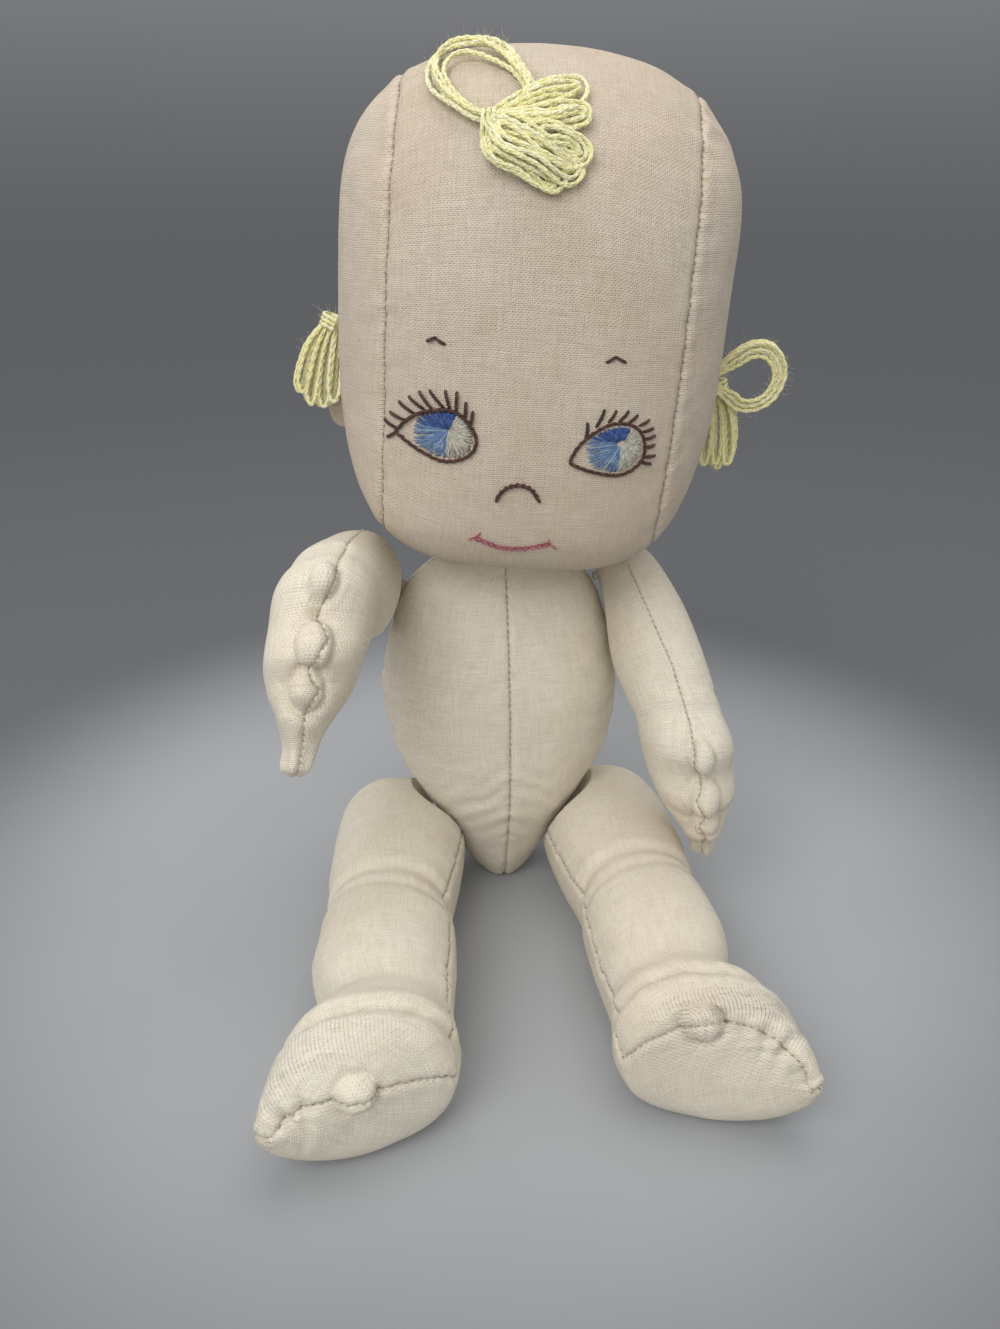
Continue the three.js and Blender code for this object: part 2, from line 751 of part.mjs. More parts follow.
// Yarn hair: a tuft is a flat bunch with a tie over its root, and two tufts have a large ring of yarn.
// Each is built in a frame of a root and three directions: along it, across it and away from the cloth.

const framePoint = (frame, along, across, away) =>
  frame.root
    .clone()
    .addScaledVector(frame.along, along)
    .addScaledVector(frame.across, across)
    .addScaledVector(frame.away, away);

function bunchGeometry(frame, size) {
  const layer = (row, column) => {
    const [alongShare, widthShare, thickShare] = tuftRowShares[row];
    const angle = (2 * Math.PI * (column % bundleSideCount)) / bundleSideCount;
    const across = (widthShare * size.width * Math.cos(angle)) / 2;
    const away = (thickShare * size.thickness * (1 + Math.sin(angle))) / 2;
    return framePoint(frame, alongShare * size.length, across, away);
  };
  return fillGeometry(layer, tuftRowShares.length - 1, bundleSideCount);
}

// An open ring whose two ends come back side by side
function ringGeometry(frame, size) {
  const points = ringTurnShares.map((share) => {
    const angle = 2 * Math.PI * share;
    const out = (1 - Math.cos(angle)) / 2;
    const neckShare = THREE.MathUtils.lerp(ringNeckShare, 1, out);
    const across = (size.width / 2) * Math.sin(angle) * neckShare;
    return framePoint(frame, size.length * out, across, yarnBundle / 2);
  });
  return threadGeometry(points, yarnBundle / 2, ringStepCount, bundleSideCount);
}

function tieGeometry(frame, size) {
  const half = (size.width * tieRowShares[1]) / 2 + clearance + floss;
  const high = size.thickness * tieRowShares[2] + clearance + floss;
  const points = arcShares.map((share) =>
    framePoint(frame, size.length * tieRowShares[0], share * half, high * shareAcross(share, tieSquareness)),
  );
  return threadGeometry(points, floss, 2 * strokeStepCount, flossSideCount);
}

function frameOf(root, along, away) {
  const across = new THREE.Vector3().crossVectors(along, away).normalize();
  return { root, along: along.clone().normalize(), across, away: away.clone().normalize() };
}

// The top tuft lies on the forehead, so its directions come from the face under it.
function topFrame(rightShare, upShare, start) {
  const lift = clearance;
  const at = (far) =>
    facePoint(topTuftSide + far * rightShare, topTuftAboveLevel + far * upShare, lift);
  const along = at(start + cloth).sub(at(start));
  const away = facePoint(topTuftSide, topTuftAboveLevel, lift + cloth).sub(at(0));
  return frameOf(at(start), along, away);
}

function sideFrame(side, below) {
  const x = side * (headReachAt(-below) + clearance);
  const root = new THREE.Vector3(x, sideTuftBehind, headLevel - below);
  const hanging = new THREE.Vector3(side * hangSlope, 0, -1);
  return frameOf(root, hanging, new THREE.Vector3(side, 0, hangSlope));
}

function addHair(group) {
  const topSize = { length: topTuftLength, width: topTuftWidth, thickness: topTuftThickness };
  const topBunch = topFrame(bunchHeadingShares[0], bunchHeadingShares[1], 0);
  const topRing = topFrame(ringHeadingShares[0], ringHeadingShares[1], ringStart);
  addMesh(group, "hair_top_bunch", bunchGeometry(topBunch, topSize), yarn);
  addMesh(group, "hair_top_tie", tieGeometry(topBunch, topSize), yarn);
  const topRingSize = { length: topRingLength, width: topRingWidth };
  addMesh(group, "hair_top_ring", ringGeometry(topRing, topRingSize), yarn);

  const sideSize = { length: sideTuftLength, width: sideTuftWidth, thickness: sideTuftThickness };
  const sides = [
    ["right", -1, rightTuftBelowLevel],
    ["left", 1, leftTuftBelowLevel],
  ];
  sides.forEach(([name, side, below]) => {
    const frame = sideFrame(side, below);
    addMesh(group, `hair_${name}_bunch`, bunchGeometry(frame, sideSize), yarn);
    addMesh(group, `hair_${name}_tie`, tieGeometry(frame, sideSize), yarn);
  });
  const outwards = new THREE.Vector3(1, 0, 0);
  const ringRoot = sideFrame(1, leftTuftBelowLevel).root;
  ringRoot.x -= clearance;
  ringRoot.y -= sideTuftWidth / 2 + clearance;
  const ringFrame = frameOf(ringRoot, outwards, new THREE.Vector3(0, -1, 0));
  const sideRingSize = { length: sideRingLength, width: sideRingWidth };
  addMesh(group, "hair_left_ring", ringGeometry(ringFrame, sideRingSize), yarn);
}

function buildHead() {
  const content = new THREE.Group();
  addMesh(content, "head_centre_panel", cutForNeck(gussetGeometry()), muslin);
  addMesh(content, "head_stuffing", cutForNeck(headStuffingGeometry()), fibre);
  [["left", 1], ["right", -1]].forEach(([name, side]) => {
    addMesh(content, `head_side_${name}`, headSideGeometry(side), muslin);
    addMesh(content, `ear_${name}`, earGeometry(side), muslin);
  });
  addEmbroidery(content);
  addHair(content);
  content.position.set(headOffset, 0, -neckCentreHeight);
  const tilted = new THREE.Group();
  tilted.add(content);
  tilted.rotation.set(0, THREE.MathUtils.degToRad(headTilt), THREE.MathUtils.degToRad(headTurn), "ZYX");
  tilted.position.z = neckCentreHeight;
  return tilted;
}

// Limbs

// How far out a point beside the torso has to lie, so that it clears it through its whole swing.
function reachBesideTorso(point, pivotHeight, swing) {
  let least = 0;
  for (let i = 0; i <= swingSampleCount; i += 1) {
    const angle = THREE.MathUtils.degToRad(THREE.MathUtils.lerp(swing[0], swing[1], i / swingSampleCount));
    const rise = point.z - pivotHeight;
    const y = point.y * Math.cos(angle) - rise * Math.sin(angle);
    const z = pivotHeight + point.y * Math.sin(angle) + rise * Math.cos(angle);
    least = Math.max(least, torsoHalfWidthAt(y, z, jointSpace));
  }
  return least;
}

// A point that is pushed out, on its own side, to at least a distance from the middle plane.
function pushedOut(point, side, least) {
  return new THREE.Vector3(side * Math.max(side * point.x, least), point.y, point.z);
}

// A stitched shank that holds a limb to the torso, on the axis of its swing.
function shankMesh(group, name, side, height, length) {
  const widest = Math.max(
    torsoHalfWidthAt(0, height - shankRadius, 0),
    torsoHalfWidthAt(0, height, 0),
    torsoHalfWidthAt(0, height + shankRadius, 0),
  );
  const geometry = new THREE.CylinderGeometry(shankRadius, shankRadius, length, bundleSideCount);
  const mesh = addMesh(group, name, geometry, thread);
  mesh.rotation.z = Math.PI / 2;
  mesh.position.set(side * (widest + clearance + length / 2), 0, height);
}

function addLimb(group, form, names, columns) {
  addMesh(group, names[0], panelGeometry(form, 0, Math.PI, columns), muslin);
  addMesh(group, names[1], panelGeometry(form, Math.PI, 2 * Math.PI, columns), muslin);
  addMesh(group, names[2], stuffingGeometry(form, 2 * columns), fibre);
}

// The middle of an arm at a distance from the shoulder, and the slope of the arm there below level.
function armMiddle(along, pitch, bend) {
  const slopeAt = (s) =>
    THREE.MathUtils.degToRad(pitch + bend * THREE.MathUtils.smoothstep(s, bendStart, bendEnd));
  const step = along / bendSampleCount;
  let y = 0;
  let z = 0;
  for (let i = 0; i < bendSampleCount; i += 1) {
    const slope = slopeAt((i + 0.5) * step);
    y -= step * Math.cos(slope);
    z -= step * Math.sin(slope);
  }
  return { y, z, slope: slopeAt(along) };
}

function armForm(side, pitch, bend, swing) {
  const sections = armRowShares.map(([along, front, back, outer, inner]) => ({
    along: along * (armLength + armTop) - armTop,
    middle: (front * armFrontReach - back * armBackReach) / 2,
    half: (front * armFrontReach + back * armBackReach) / 2,
    up: outer * armHalfThickness,
    down: inner * armHalfThickness,
    squareness: limbSquareness,
    lowSquareness: limbSquareness,
  }));
  const leanSlope = Math.tan(THREE.MathUtils.degToRad(armLean));
  const place = (along, across, lift, inset) => {
    const middle = armMiddle(along, pitch, bend);
    const x = shoulderHalfSpacing + leanSlope * along + lift;
    const y = middle.y - across * Math.sin(middle.slope);
    const z = shoulderHeight + middle.z + across * Math.cos(middle.slope);
    const point = new THREE.Vector3(side * x, y, z);
    const depth = lift > 0 ? lift + cloth + clearance : inset;
    return pushedOut(point, side, reachBesideTorso(point, shoulderHeight, swing) + depth);
  };
  return { sections, place };
}

function buildArms() {
  const group = new THREE.Group();
  const arms = [
    ["left", 1, leftArmPitchAngle, leftArmBendAngle, leftArmSwingAngles],
    ["right", -1, rightArmPitchAngle, rightArmBendAngle, rightArmSwingAngles],
  ];
  arms.forEach(([name, side, pitch, bend, swing]) => {
    const names = [`arm_${name}_outer`, `arm_${name}_inner`, `arm_${name}_stuffing`];
    addLimb(group, armForm(side, pitch, bend, swing), names, limbColumnCounts.arm);
    shankMesh(group, `shoulder_thread_${name}`, side, shoulderHeight, shoulderShankLength);
  });
  return group;
}

function legForm(side, splay) {
  const sections = legRowShares.map(([along, outer, inner, above, below]) => ({
    along: along * (legLength + legTop) - legTop,
    middle: ((outer - inner) * legHalfWidth) / 2,
    half: ((outer + inner) * legHalfWidth) / 2,
    up: above * legHalfThickness,
    down: below * legHalfThickness,
    squareness: limbSquareness,
    lowSquareness: limbSquareness,
  }));
  const turn = THREE.MathUtils.degToRad(splay);
  const place = (along, across, lift, inset) => {
    const x = hipHalfSpacing + along * Math.sin(turn) + across * Math.cos(turn);
    const y = across * Math.sin(turn) - along * Math.cos(turn);
    const z = Math.max(hipHeight + lift, inset);
    const point = new THREE.Vector3(side * x, y, z);
    const least = Math.max(legInnerLimit, reachBesideTorso(point, hipHeight, hipSwingAngles));
    return pushedOut(point, side, least + inset);
  };
  return { sections, place };
}

function buildLegs() {
  const group = new THREE.Group();
  const legs = [
    ["left", 1, leftLegSplayAngle],
    ["right", -1, rightLegSplayAngle],
  ];
  legs.forEach(([name, side, splay]) => {
    const names = [`leg_${name}_upper`, `leg_${name}_lower`, `leg_${name}_stuffing`];
    addLimb(group, legForm(side, splay), names, limbColumnCounts.leg);
    shankMesh(group, `hip_thread_${name}`, side, hipHeight, hipShankLength);
  });
  return group;
}

doll.add(buildTorso(), buildNeck(), buildHead(), buildArms(), buildLegs());
doll.position.y = -seatBehind;

export default doll;
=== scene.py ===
"""The looks of a sitting cloth doll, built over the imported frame. Shapes are made in millimetres."""

import math
import random

import bpy
import numpy as np
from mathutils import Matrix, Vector
from mathutils.kdtree import KDTree


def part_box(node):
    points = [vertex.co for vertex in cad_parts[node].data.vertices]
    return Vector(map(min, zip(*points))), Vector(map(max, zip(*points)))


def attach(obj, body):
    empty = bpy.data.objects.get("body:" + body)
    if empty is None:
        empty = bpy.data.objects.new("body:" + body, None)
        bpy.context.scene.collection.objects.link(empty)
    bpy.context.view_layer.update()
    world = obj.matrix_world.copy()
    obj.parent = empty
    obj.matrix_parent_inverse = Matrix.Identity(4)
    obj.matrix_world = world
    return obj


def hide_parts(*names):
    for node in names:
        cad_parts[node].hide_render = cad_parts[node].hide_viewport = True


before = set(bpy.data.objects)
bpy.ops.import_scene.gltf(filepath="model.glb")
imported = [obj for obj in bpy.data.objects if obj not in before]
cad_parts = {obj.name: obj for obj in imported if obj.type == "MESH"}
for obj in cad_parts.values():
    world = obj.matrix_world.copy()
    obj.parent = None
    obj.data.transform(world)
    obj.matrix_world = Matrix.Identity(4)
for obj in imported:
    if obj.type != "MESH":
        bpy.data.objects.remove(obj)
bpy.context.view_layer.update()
rng = np.random.default_rng(4)

MM = 0.001
# The cloth as thick as it shows, how deep it turns into a seam, and its threads' pitch
CLOTH_SHOWN = 0.55
SEAM_DEPTH = 1.3
WEAVE_PITCH = 0.55
YARN_RADIUS = 0.66
# The cloth's settling over the stuffing: cell size, pressure, steps and greatest effect
SETTLING_CELL = 5.0
SETTLING_PRESSURE = 4
SETTLING_STEPS = 20
SETTLING_LIMIT = 0.7

# The doll's sizes, as in its solids
SEAT_BEHIND = 3.0
CLOTH = 0.8
CLEARANCE = 0.3
JOINT_SPACE = 2.6
TORSO_HEIGHT = 126.0
TORSO_SIZES = (41.0, 29.0, 27.0)
TORSO_SQUARENESS = 2.2
NECK_RADIUS = 14.0
NECK_DROP = 8.7
NECK_ROOM = 0.9
NECK_CENTRE = TORSO_HEIGHT + CLEARANCE + NECK_DROP
HEAD_HALF_WIDTH = 57.0
HEAD_ABOVE = 45.0
HEAD_BELOW = 95.0
HEAD_FRONT = 52.0
HEAD_BACK = 50.0
HEAD_OFFSET = 5.0
HEAD_LEVEL = TORSO_HEIGHT + 2 + HEAD_BELOW
HEAD_TURN = math.radians(-7)
HEAD_TILT = math.radians(4)
GUSSET_HALF_WIDTH = 40.0
OUTLINE_SQUARENESS = 2.4
JAW_SQUARENESS = 3.6
DEPTH_SQUARENESS = 2.6
CROWN_SQUARENESS = 2.4
CHIN_SQUARENESS = 5.4
SHOULDER = (43.0, 113.0)
ARM_TOP = 9.0
ARM_LENGTH = 104.0
ARM_SIZES = (16.5, 15.5, 14.0, 14.0)
ARM_LEAN = math.tan(math.radians(12))
BEND_RANGE = (38.0, 74.0)
HIP = (36.0, 20.0)
LEG_TOP = 9.0
LEG_LENGTH = 141.0
LEG_SIZES = (22.5, 22.5, 20.5, 20.5)
LEG_INNER_LIMIT = 2.0
LIMB_SQUARENESS = 2.3

TORSO_ROWS = [
    [0, 0.02, 0.03, 0.03], [0, 0.16, 0.38, 0.24], [0.03, 0.26, 0.52, 0.36], [0.09, 0.37, 0.64, 0.5],
    [0.16, 0.48, 0.75, 0.65], [0.23, 0.6, 0.86, 0.79], [0.31, 0.75, 0.95, 0.9], [0.44, 0.94, 1, 1],
    [0.58, 1, 1, 1], [0.71, 0.95, 0.91, 0.94], [0.82, 0.86, 0.78, 0.82], [0.9, 0.75, 0.66, 0.69],
    [0.96, 0.56, 0.52, 0.54], [1, 0.34, 0.45, 0.48], [1, 0.02, 0.03, 0.03],
]
ARM_ROWS = [
    [0, 0.02, 0.02, 0.02, 0.02], [0.004, 0.5, 0.5, 0.42, 0.42], [0.05, 0.9, 0.82, 0.68, 0.66],
    [0.13, 1.08, 0.98, 0.84, 0.8], [0.24, 1.12, 1.06, 0.98, 0.94], [0.36, 1.02, 1.03, 1.02, 1],
    [0.46, 0.93, 0.92, 0.98, 0.98], [0.53, 0.86, 0.82, 0.9, 0.92], [0.606, 1.14, 0.9, 0.99, 1],
    [0.67, 0.92, 0.95, 1, 0.99], [0.736, 1.06, 0.92, 0.95, 0.93], [0.8, 0.8, 0.84, 0.82, 0.8],
    [0.865, 0.8, 0.56, 0.52, 0.54], [0.93, 0.42, 0.33, 0.31, 0.33], [0.98, 0.3, 0.24, 0.26, 0.26],
    [1, 0.02, 0.02, 0.02, 0.02],
]
LEG_ROWS = [
    [0, 0.02, 0.02, 0.02, 0.02], [0.004, 0.55, 0.55, 0.5, 0.5], [0.04, 0.82, 0.82, 0.78, 0.8],
    [0.1, 0.97, 0.97, 0.94, 0.96], [0.2, 1.02, 1, 1, 1], [0.31, 1, 0.97, 0.98, 1],
    [0.4, 0.94, 0.9, 0.92, 0.98], [0.46, 0.91, 0.87, 0.88, 0.97], [0.52, 0.94, 0.93, 0.93, 0.98],
    [0.6, 0.95, 0.95, 0.95, 1], [0.68, 0.84, 0.93, 0.9, 0.98], [0.735, 0.68, 0.92, 0.84, 0.96],
    [0.78, 0.82, 0.96, 0.95, 0.99], [0.83, 1.03, 1.03, 1.06, 1], [0.875, 1.14, 0.98, 1.06, 1],
    [0.92, 1.19, 0.5, 0.9, 0.94], [0.955, 1.22, -0.1, 0.66, 0.76], [0.985, 1.22, -0.62, 0.36, 0.42],
    [1, 1.05, -1.02, 0.02, 0.02],
]


# Numbers

def smoothstep(value, low, high):
    share = np.clip((value - low) / (high - low), 0, 1)
    return share * share * (3 - 2 * share)


def share_across(share, squareness):
    return np.maximum(0, 1 - np.abs(share) ** squareness) ** (1 / squareness)


def unit(vectors):
    return vectors / np.maximum(np.linalg.norm(vectors, axis=-1, keepdims=True), 1e-9)


def value_noise(points, size, seed):
    """Smooth noise from -1 to 1, with lumps of a size in millimetres."""
    scaled = np.asarray(points, dtype=float) / size
    cell = np.floor(scaled).astype(np.int64)
    part = scaled - cell
    part = part * part * (3 - 2 * part)
    total = np.zeros(scaled.shape[:-1])
    for corner in range(8):
        step = np.array([corner & 1, (corner >> 1) & 1, corner >> 2])
        key = cell + step
        mixed = (key[..., 0] * 73856093) ^ (key[..., 1] * 19349663) ^ (key[..., 2] * 83492791) ^ (seed * 7919)
        mixed = ((mixed ^ (mixed >> 13)) * 1274126177) & 0x7FFFFFFF
        value = ((mixed ^ (mixed >> 15)) & 0xFFFF) / 32767.5 - 1
        total += value * np.prod(np.where(step == 1, part, 1 - part), axis=-1)
    return total


def line_noise(run, size, seed):
    return value_noise(np.stack([run, np.zeros_like(run), np.zeros_like(run)], axis=-1), size, seed)


def smooth_rows(rows, count):
    """Rows of measures, the first along the form, resampled at even distances by a monotone cubic."""
    rows = np.asarray(rows, dtype=float)
    steps = np.diff(rows, axis=0)
    x = np.concatenate([[0], np.cumsum(np.hypot(steps[:, 0], np.abs(steps[:, 1:]).mean(axis=1)))])
    h = np.diff(x)
    delta = steps / h[:, None]
    slope = np.zeros_like(rows)
    with np.errstate(divide="ignore", invalid="ignore"):
        wide = (2 * h[1:] + h[:-1])[:, None]
        near = (2 * h[:-1] + h[1:])[:, None]
        mean = (wide + near) / (wide / delta[:-1] + near / delta[1:])
    slope[1:-1] = np.where(np.sign(delta[:-1]) * np.sign(delta[1:]) > 0, mean, 0)
    slope[0] = delta[0]
    slope[-1] = delta[-1]
    at = np.linspace(0, x[-1], count)
    i = np.clip(np.searchsorted(x, at, side="right") - 1, 0, len(x) - 2)
    t = ((at - x[i]) / h[i])[:, None]
    step = h[i][:, None]
    return (
        (2 * t**3 - 3 * t**2 + 1) * rows[i] + (t**3 - 2 * t**2 + t) * step * slope[i]
        + (3 * t**2 - 2 * t**3) * rows[i + 1] + (t**3 - t**2) * step * slope[i + 1]
    )


def section_rings(half, up, down, high_power, low_power, quarter, first_turn=0.0, second_turn=0.0):
    """Closed sections as points at even distances in each quarter: across from 1 round over the top.
    The turns move the two seams round the section, upwards from its sides."""
    dense = 60
    rings = np.zeros((len(half), 4 * quarter, 2))
    first = np.zeros(len(half)) + first_turn
    second = math.pi - (np.zeros(len(half)) + second_turn)
    bounds = [first, (first + second) / 2, second, (first + second) / 2 + math.pi, first + 2 * math.pi]
    for part in range(4):
        share = np.linspace(0, 1, dense + 1)
        turn = bounds[part][:, None] * (1 - share) + bounds[part + 1][:, None] * share
        c, s = np.cos(turn), np.sin(turn)
        power = np.where(c > 0, high_power, low_power)
        radius = (np.abs(c) ** power + np.abs(s) ** power) ** (-1 / power)
        x = half[:, None] * radius * c
        y = np.where(s > 0, up[:, None], down[:, None]) * radius * s
        steps = np.hypot(np.diff(x), np.diff(y))
        run = np.concatenate([np.zeros((len(half), 1)), np.cumsum(steps, axis=1)], axis=1)
        for row in range(len(half)):
            at = np.linspace(0, run[row, -1], quarter + 1)[:-1]
            rings[row, part * quarter:(part + 1) * quarter, 0] = np.interp(at, run[row], x[row])
            rings[row, part * quarter:(part + 1) * quarter, 1] = np.interp(at, run[row], y[row])
    return rings


def tree_of(places):
    """A quick way to find the nearest of many places."""
    tree = KDTree(len(places))
    for index, place in enumerate(places):
        tree.insert(place, index)
    tree.balance()
    return tree


class Form:
    """A closed form as a grid of points, rows along it and columns round it, with normals and distances."""

    def __init__(self, points, quarter):
        self.points = points
        self.quarter = quarter
        self.measure()

    def measure(self):
        p = self.points
        down = np.gradient(p, axis=0)
        round_ = np.roll(p, -1, axis=1) - np.roll(p, 1, axis=1)
        normal = np.cross(round_, down)
        middle = p.mean(axis=1, keepdims=True)
        if (normal * (p - middle)).sum() < 0:
            normal = -normal
        normal = unit(normal)
        for row, inner in ((0, 2), (-1, -3)):
            normal[row] = unit(middle[row] - middle[inner])
        self.normals = normal
        step = np.linalg.norm(np.roll(p, -1, axis=1) - p, axis=-1)
        self.around = np.concatenate([np.zeros((len(p), 1)), np.cumsum(step, axis=1)], axis=1)
        rise = np.linalg.norm(np.diff(p, axis=0), axis=-1).mean(axis=1)
        self.run = np.concatenate([[0], np.cumsum(rise)])

    def from_column(self, column):
        """The signed distance of each point round the form from a column."""
        whole = self.around[:, -1:]
        gap = self.around[:, :-1] - self.around[:, column:column + 1]
        return (gap + whole / 2) % whole - whole / 2

    def from_seam(self, column):
        """Each point's signed straight distance from a column, and the run of the nearest place on it."""
        line = self.points[:, column]
        run = np.concatenate([[0], np.cumsum(np.linalg.norm(np.diff(line, axis=0), axis=1))])
        at = np.linspace(0, run[-1], 4 * len(line))
        tree = tree_of(np.stack([np.interp(at, run, line[:, axis]) for axis in range(3)], axis=1))
        found = [tree.find(place)[1:] for place in self.points.reshape(-1, 3)]
        nearest, gap = np.array(found).T
        shape = self.points.shape[:2]
        side = np.where(self.from_column(column) < 0, -1, 1)
        return gap.reshape(shape) * side, at[nearest.astype(int)].reshape(shape)

    def push(self, relief):
        self.points = self.points + self.normals * relief[..., None]


def seam_relief(distance, run, seed, groove=0.6, pucker=0.3):
    """The fold of a turned-in seam, with the small gathers on both sides of it."""
    side = np.abs(distance)
    relief = -groove * np.exp(-((side / 0.7) ** 2)) + 0.2 * np.exp(-(((side - 2.4) / 1.5) ** 2))
    relief += pucker * np.exp(-side / 2.6) * line_noise(run + 0.3 * side, 1.5, seed)
    relief += pucker * np.exp(-side / 7) * line_noise(run + 0.35 * distance, 4.2, seed + 1)
    return relief


def lumps(points, seed, size=1.0):
    return size * (0.7 * value_noise(points, 26, seed) + 0.22 * value_noise(points, 9, seed + 1))


def crease(distance, depth, width):
    """A pressed-in fold whose cloth swells on both sides."""
    share = distance / width
    return -depth * (1 - 0.55 * share**2) * np.exp(-0.5 * share**2)


# Meshes

materials = {}


def new_mesh(name, points, counts, corners, grain):
    """A smooth mesh from points in millimetres, polygon sizes and their corners, with cloth coordinates.
    The forms have their side seams at a y of 0, and the origin lies behind them."""
    mesh = bpy.data.meshes.new(name)
    points = (np.asarray(points) + np.array([0, -SEAT_BEHIND, 0])) * MM
    counts = np.asarray(counts, dtype=np.int32)
    corners = np.asarray(corners, dtype=np.int32)
    mesh.vertices.add(len(points))
    mesh.vertices.foreach_set("co", points.astype(np.float32).ravel())
    mesh.loops.add(len(corners))
    mesh.loops.foreach_set("vertex_index", corners)
    mesh.polygons.add(len(counts))
    mesh.polygons.foreach_set("loop_start", np.concatenate([[0], np.cumsum(counts)[:-1]]).astype(np.int32))
    mesh.update(calc_edges=True)
    mesh.polygons.foreach_set("use_smooth", np.full(len(counts), True))
    layer = mesh.uv_layers.new(name="grain")
    layer.data.foreach_set("uv", np.asarray(grain, dtype=np.float32).ravel())
    mesh.validate()
    return mesh


def new_object(name, mesh, material):
    made = bpy.data.objects.new(name, mesh)
    bpy.context.scene.collection.objects.link(made)
    mesh.materials.append(materials[material])
    return made


def grid_object(name, points, grain, material, wrap=False, thickness=CLOTH_SHOWN):
    """A sheet of cloth from a grid of points. A wrapped grid closes on itself round its columns."""
    rows, columns = points.shape[:2]
    across = columns if wrap else columns - 1
    i, j = np.meshgrid(np.arange(rows - 1), np.arange(across), indexing="ij")
    i, j = i.ravel(), j.ravel()
    after = (j + 1) % columns
    here, below = i * columns, (i + 1) * columns
    corners = np.stack([here + j, below + j, below + after, here + after], axis=1)
    uv = np.stack([grain[i, j], grain[i + 1, j], grain[i + 1, j + 1], grain[i, j + 1]], axis=1)
    flat = points.reshape(-1, 3)
    p = flat[corners]
    normal = np.cross(p[:, 2] - p[:, 0], p[:, 3] - p[:, 1])
    centre = flat.mean(axis=0)
    if (normal * (p.mean(axis=1) - centre)).sum() < 0:
        corners = corners[:, ::-1]
        uv = uv[:, ::-1]
    mesh = new_mesh(name, flat, np.full(len(corners), 4), corners.ravel(), uv.reshape(-1, 2))
    made = new_object(name, mesh, material)
    if thickness:
        solid = made.modifiers.new("thickness", "SOLIDIFY")
        solid.thickness = thickness * MM
        solid.offset = -1
        solid.use_even_offset = False
    return made


def mesh_places(mesh):
    places = np.zeros(3 * len(mesh.vertices))
    mesh.vertices.foreach_get("co", places)
    return places.reshape(-1, 3) / MM


def swelling(form):
    """How unevenly a filled skin of cloth settles over a form, in millimetres, from a short simulation."""
    scene = bpy.context.scene
    grain = np.zeros((form.points.shape[0], form.points.shape[1] + 1, 2))
    skin = grid_object("skin", form.points - form.normals * 1.5, grain, "muslin", wrap=True, thickness=0)
    remesh = skin.modifiers.new("remesh", "REMESH")
    remesh.mode = "VOXEL"
    remesh.voxel_size = SETTLING_CELL * MM
    even = bpy.data.meshes.new_from_object(skin.evaluated_get(bpy.context.evaluated_depsgraph_get()))
    skin.modifiers.clear()
    skin.data = even
    before = mesh_places(even)
    cloth = skin.modifiers.new("cloth", "CLOTH")
    cloth.settings.use_pressure = True
    cloth.settings.uniform_pressure_force = SETTLING_PRESSURE
    cloth.settings.effector_weights.gravity = 0
    for step in range(1, SETTLING_STEPS + 1):
        scene.frame_set(step)
    after = mesh_places(skin.evaluated_get(bpy.context.evaluated_depsgraph_get()).data)
    scene.frame_set(1)
    bpy.data.objects.remove(skin)
    tree = tree_of(before)
    moved = after - before
    amount = []
    for place, normal in zip(form.points.reshape(-1, 3) - [0, SEAT_BEHIND, 0], form.normals.reshape(-1, 3)):
        near = tree.find_n(place, 4)
        weights = np.array([1 / (gap + 1) for _, _, gap in near])
        amount.append((weights @ moved[[index for _, index, _ in near]]) @ normal / weights.sum())
    amount = np.array(amount).reshape(form.points.shape[:2])
    return np.clip(amount - np.median(amount), -SETTLING_LIMIT, SETTLING_LIMIT)


def turned_in(points, normals):
    """Adds two columns at each side of a panel, where the cloth turns into the seam."""
    edges = []
    for column in (0, -1):
        inwards = -unit(normals[:, column]) * SEAM_DEPTH
        edges.append([(points[:, column] + inwards * share)[:, None] for share in (1, 0.5)])
    return np.concatenate([*edges[0], points, *edges[1][::-1]], axis=1)


def panel_object(name, form, start, end):
    """One cloth panel of a form between two of its columns, with its grain along the middle of the panel."""
    total = form.points.shape[1]
    columns = np.arange(start, end + 1) % total
    points = form.points[:, columns]
    normals = form.normals[:, columns]
    across = form.from_column(((start + end) // 2) % total)[:, columns]
    half = (end - start) // 2
    across = np.where(np.arange(end - start + 1) < half, -np.abs(across), np.abs(across))
    points = turned_in(points, normals)
    first, last = across[:, :1], across[:, -1:]
    across = np.concatenate([first - SEAM_DEPTH, first - 0.6, across, last + 0.6, last + SEAM_DEPTH], axis=1)
    along = np.broadcast_to(form.run[:, None], across.shape)
    return grid_object(name, points, np.stack([across, along], axis=-1), "muslin")


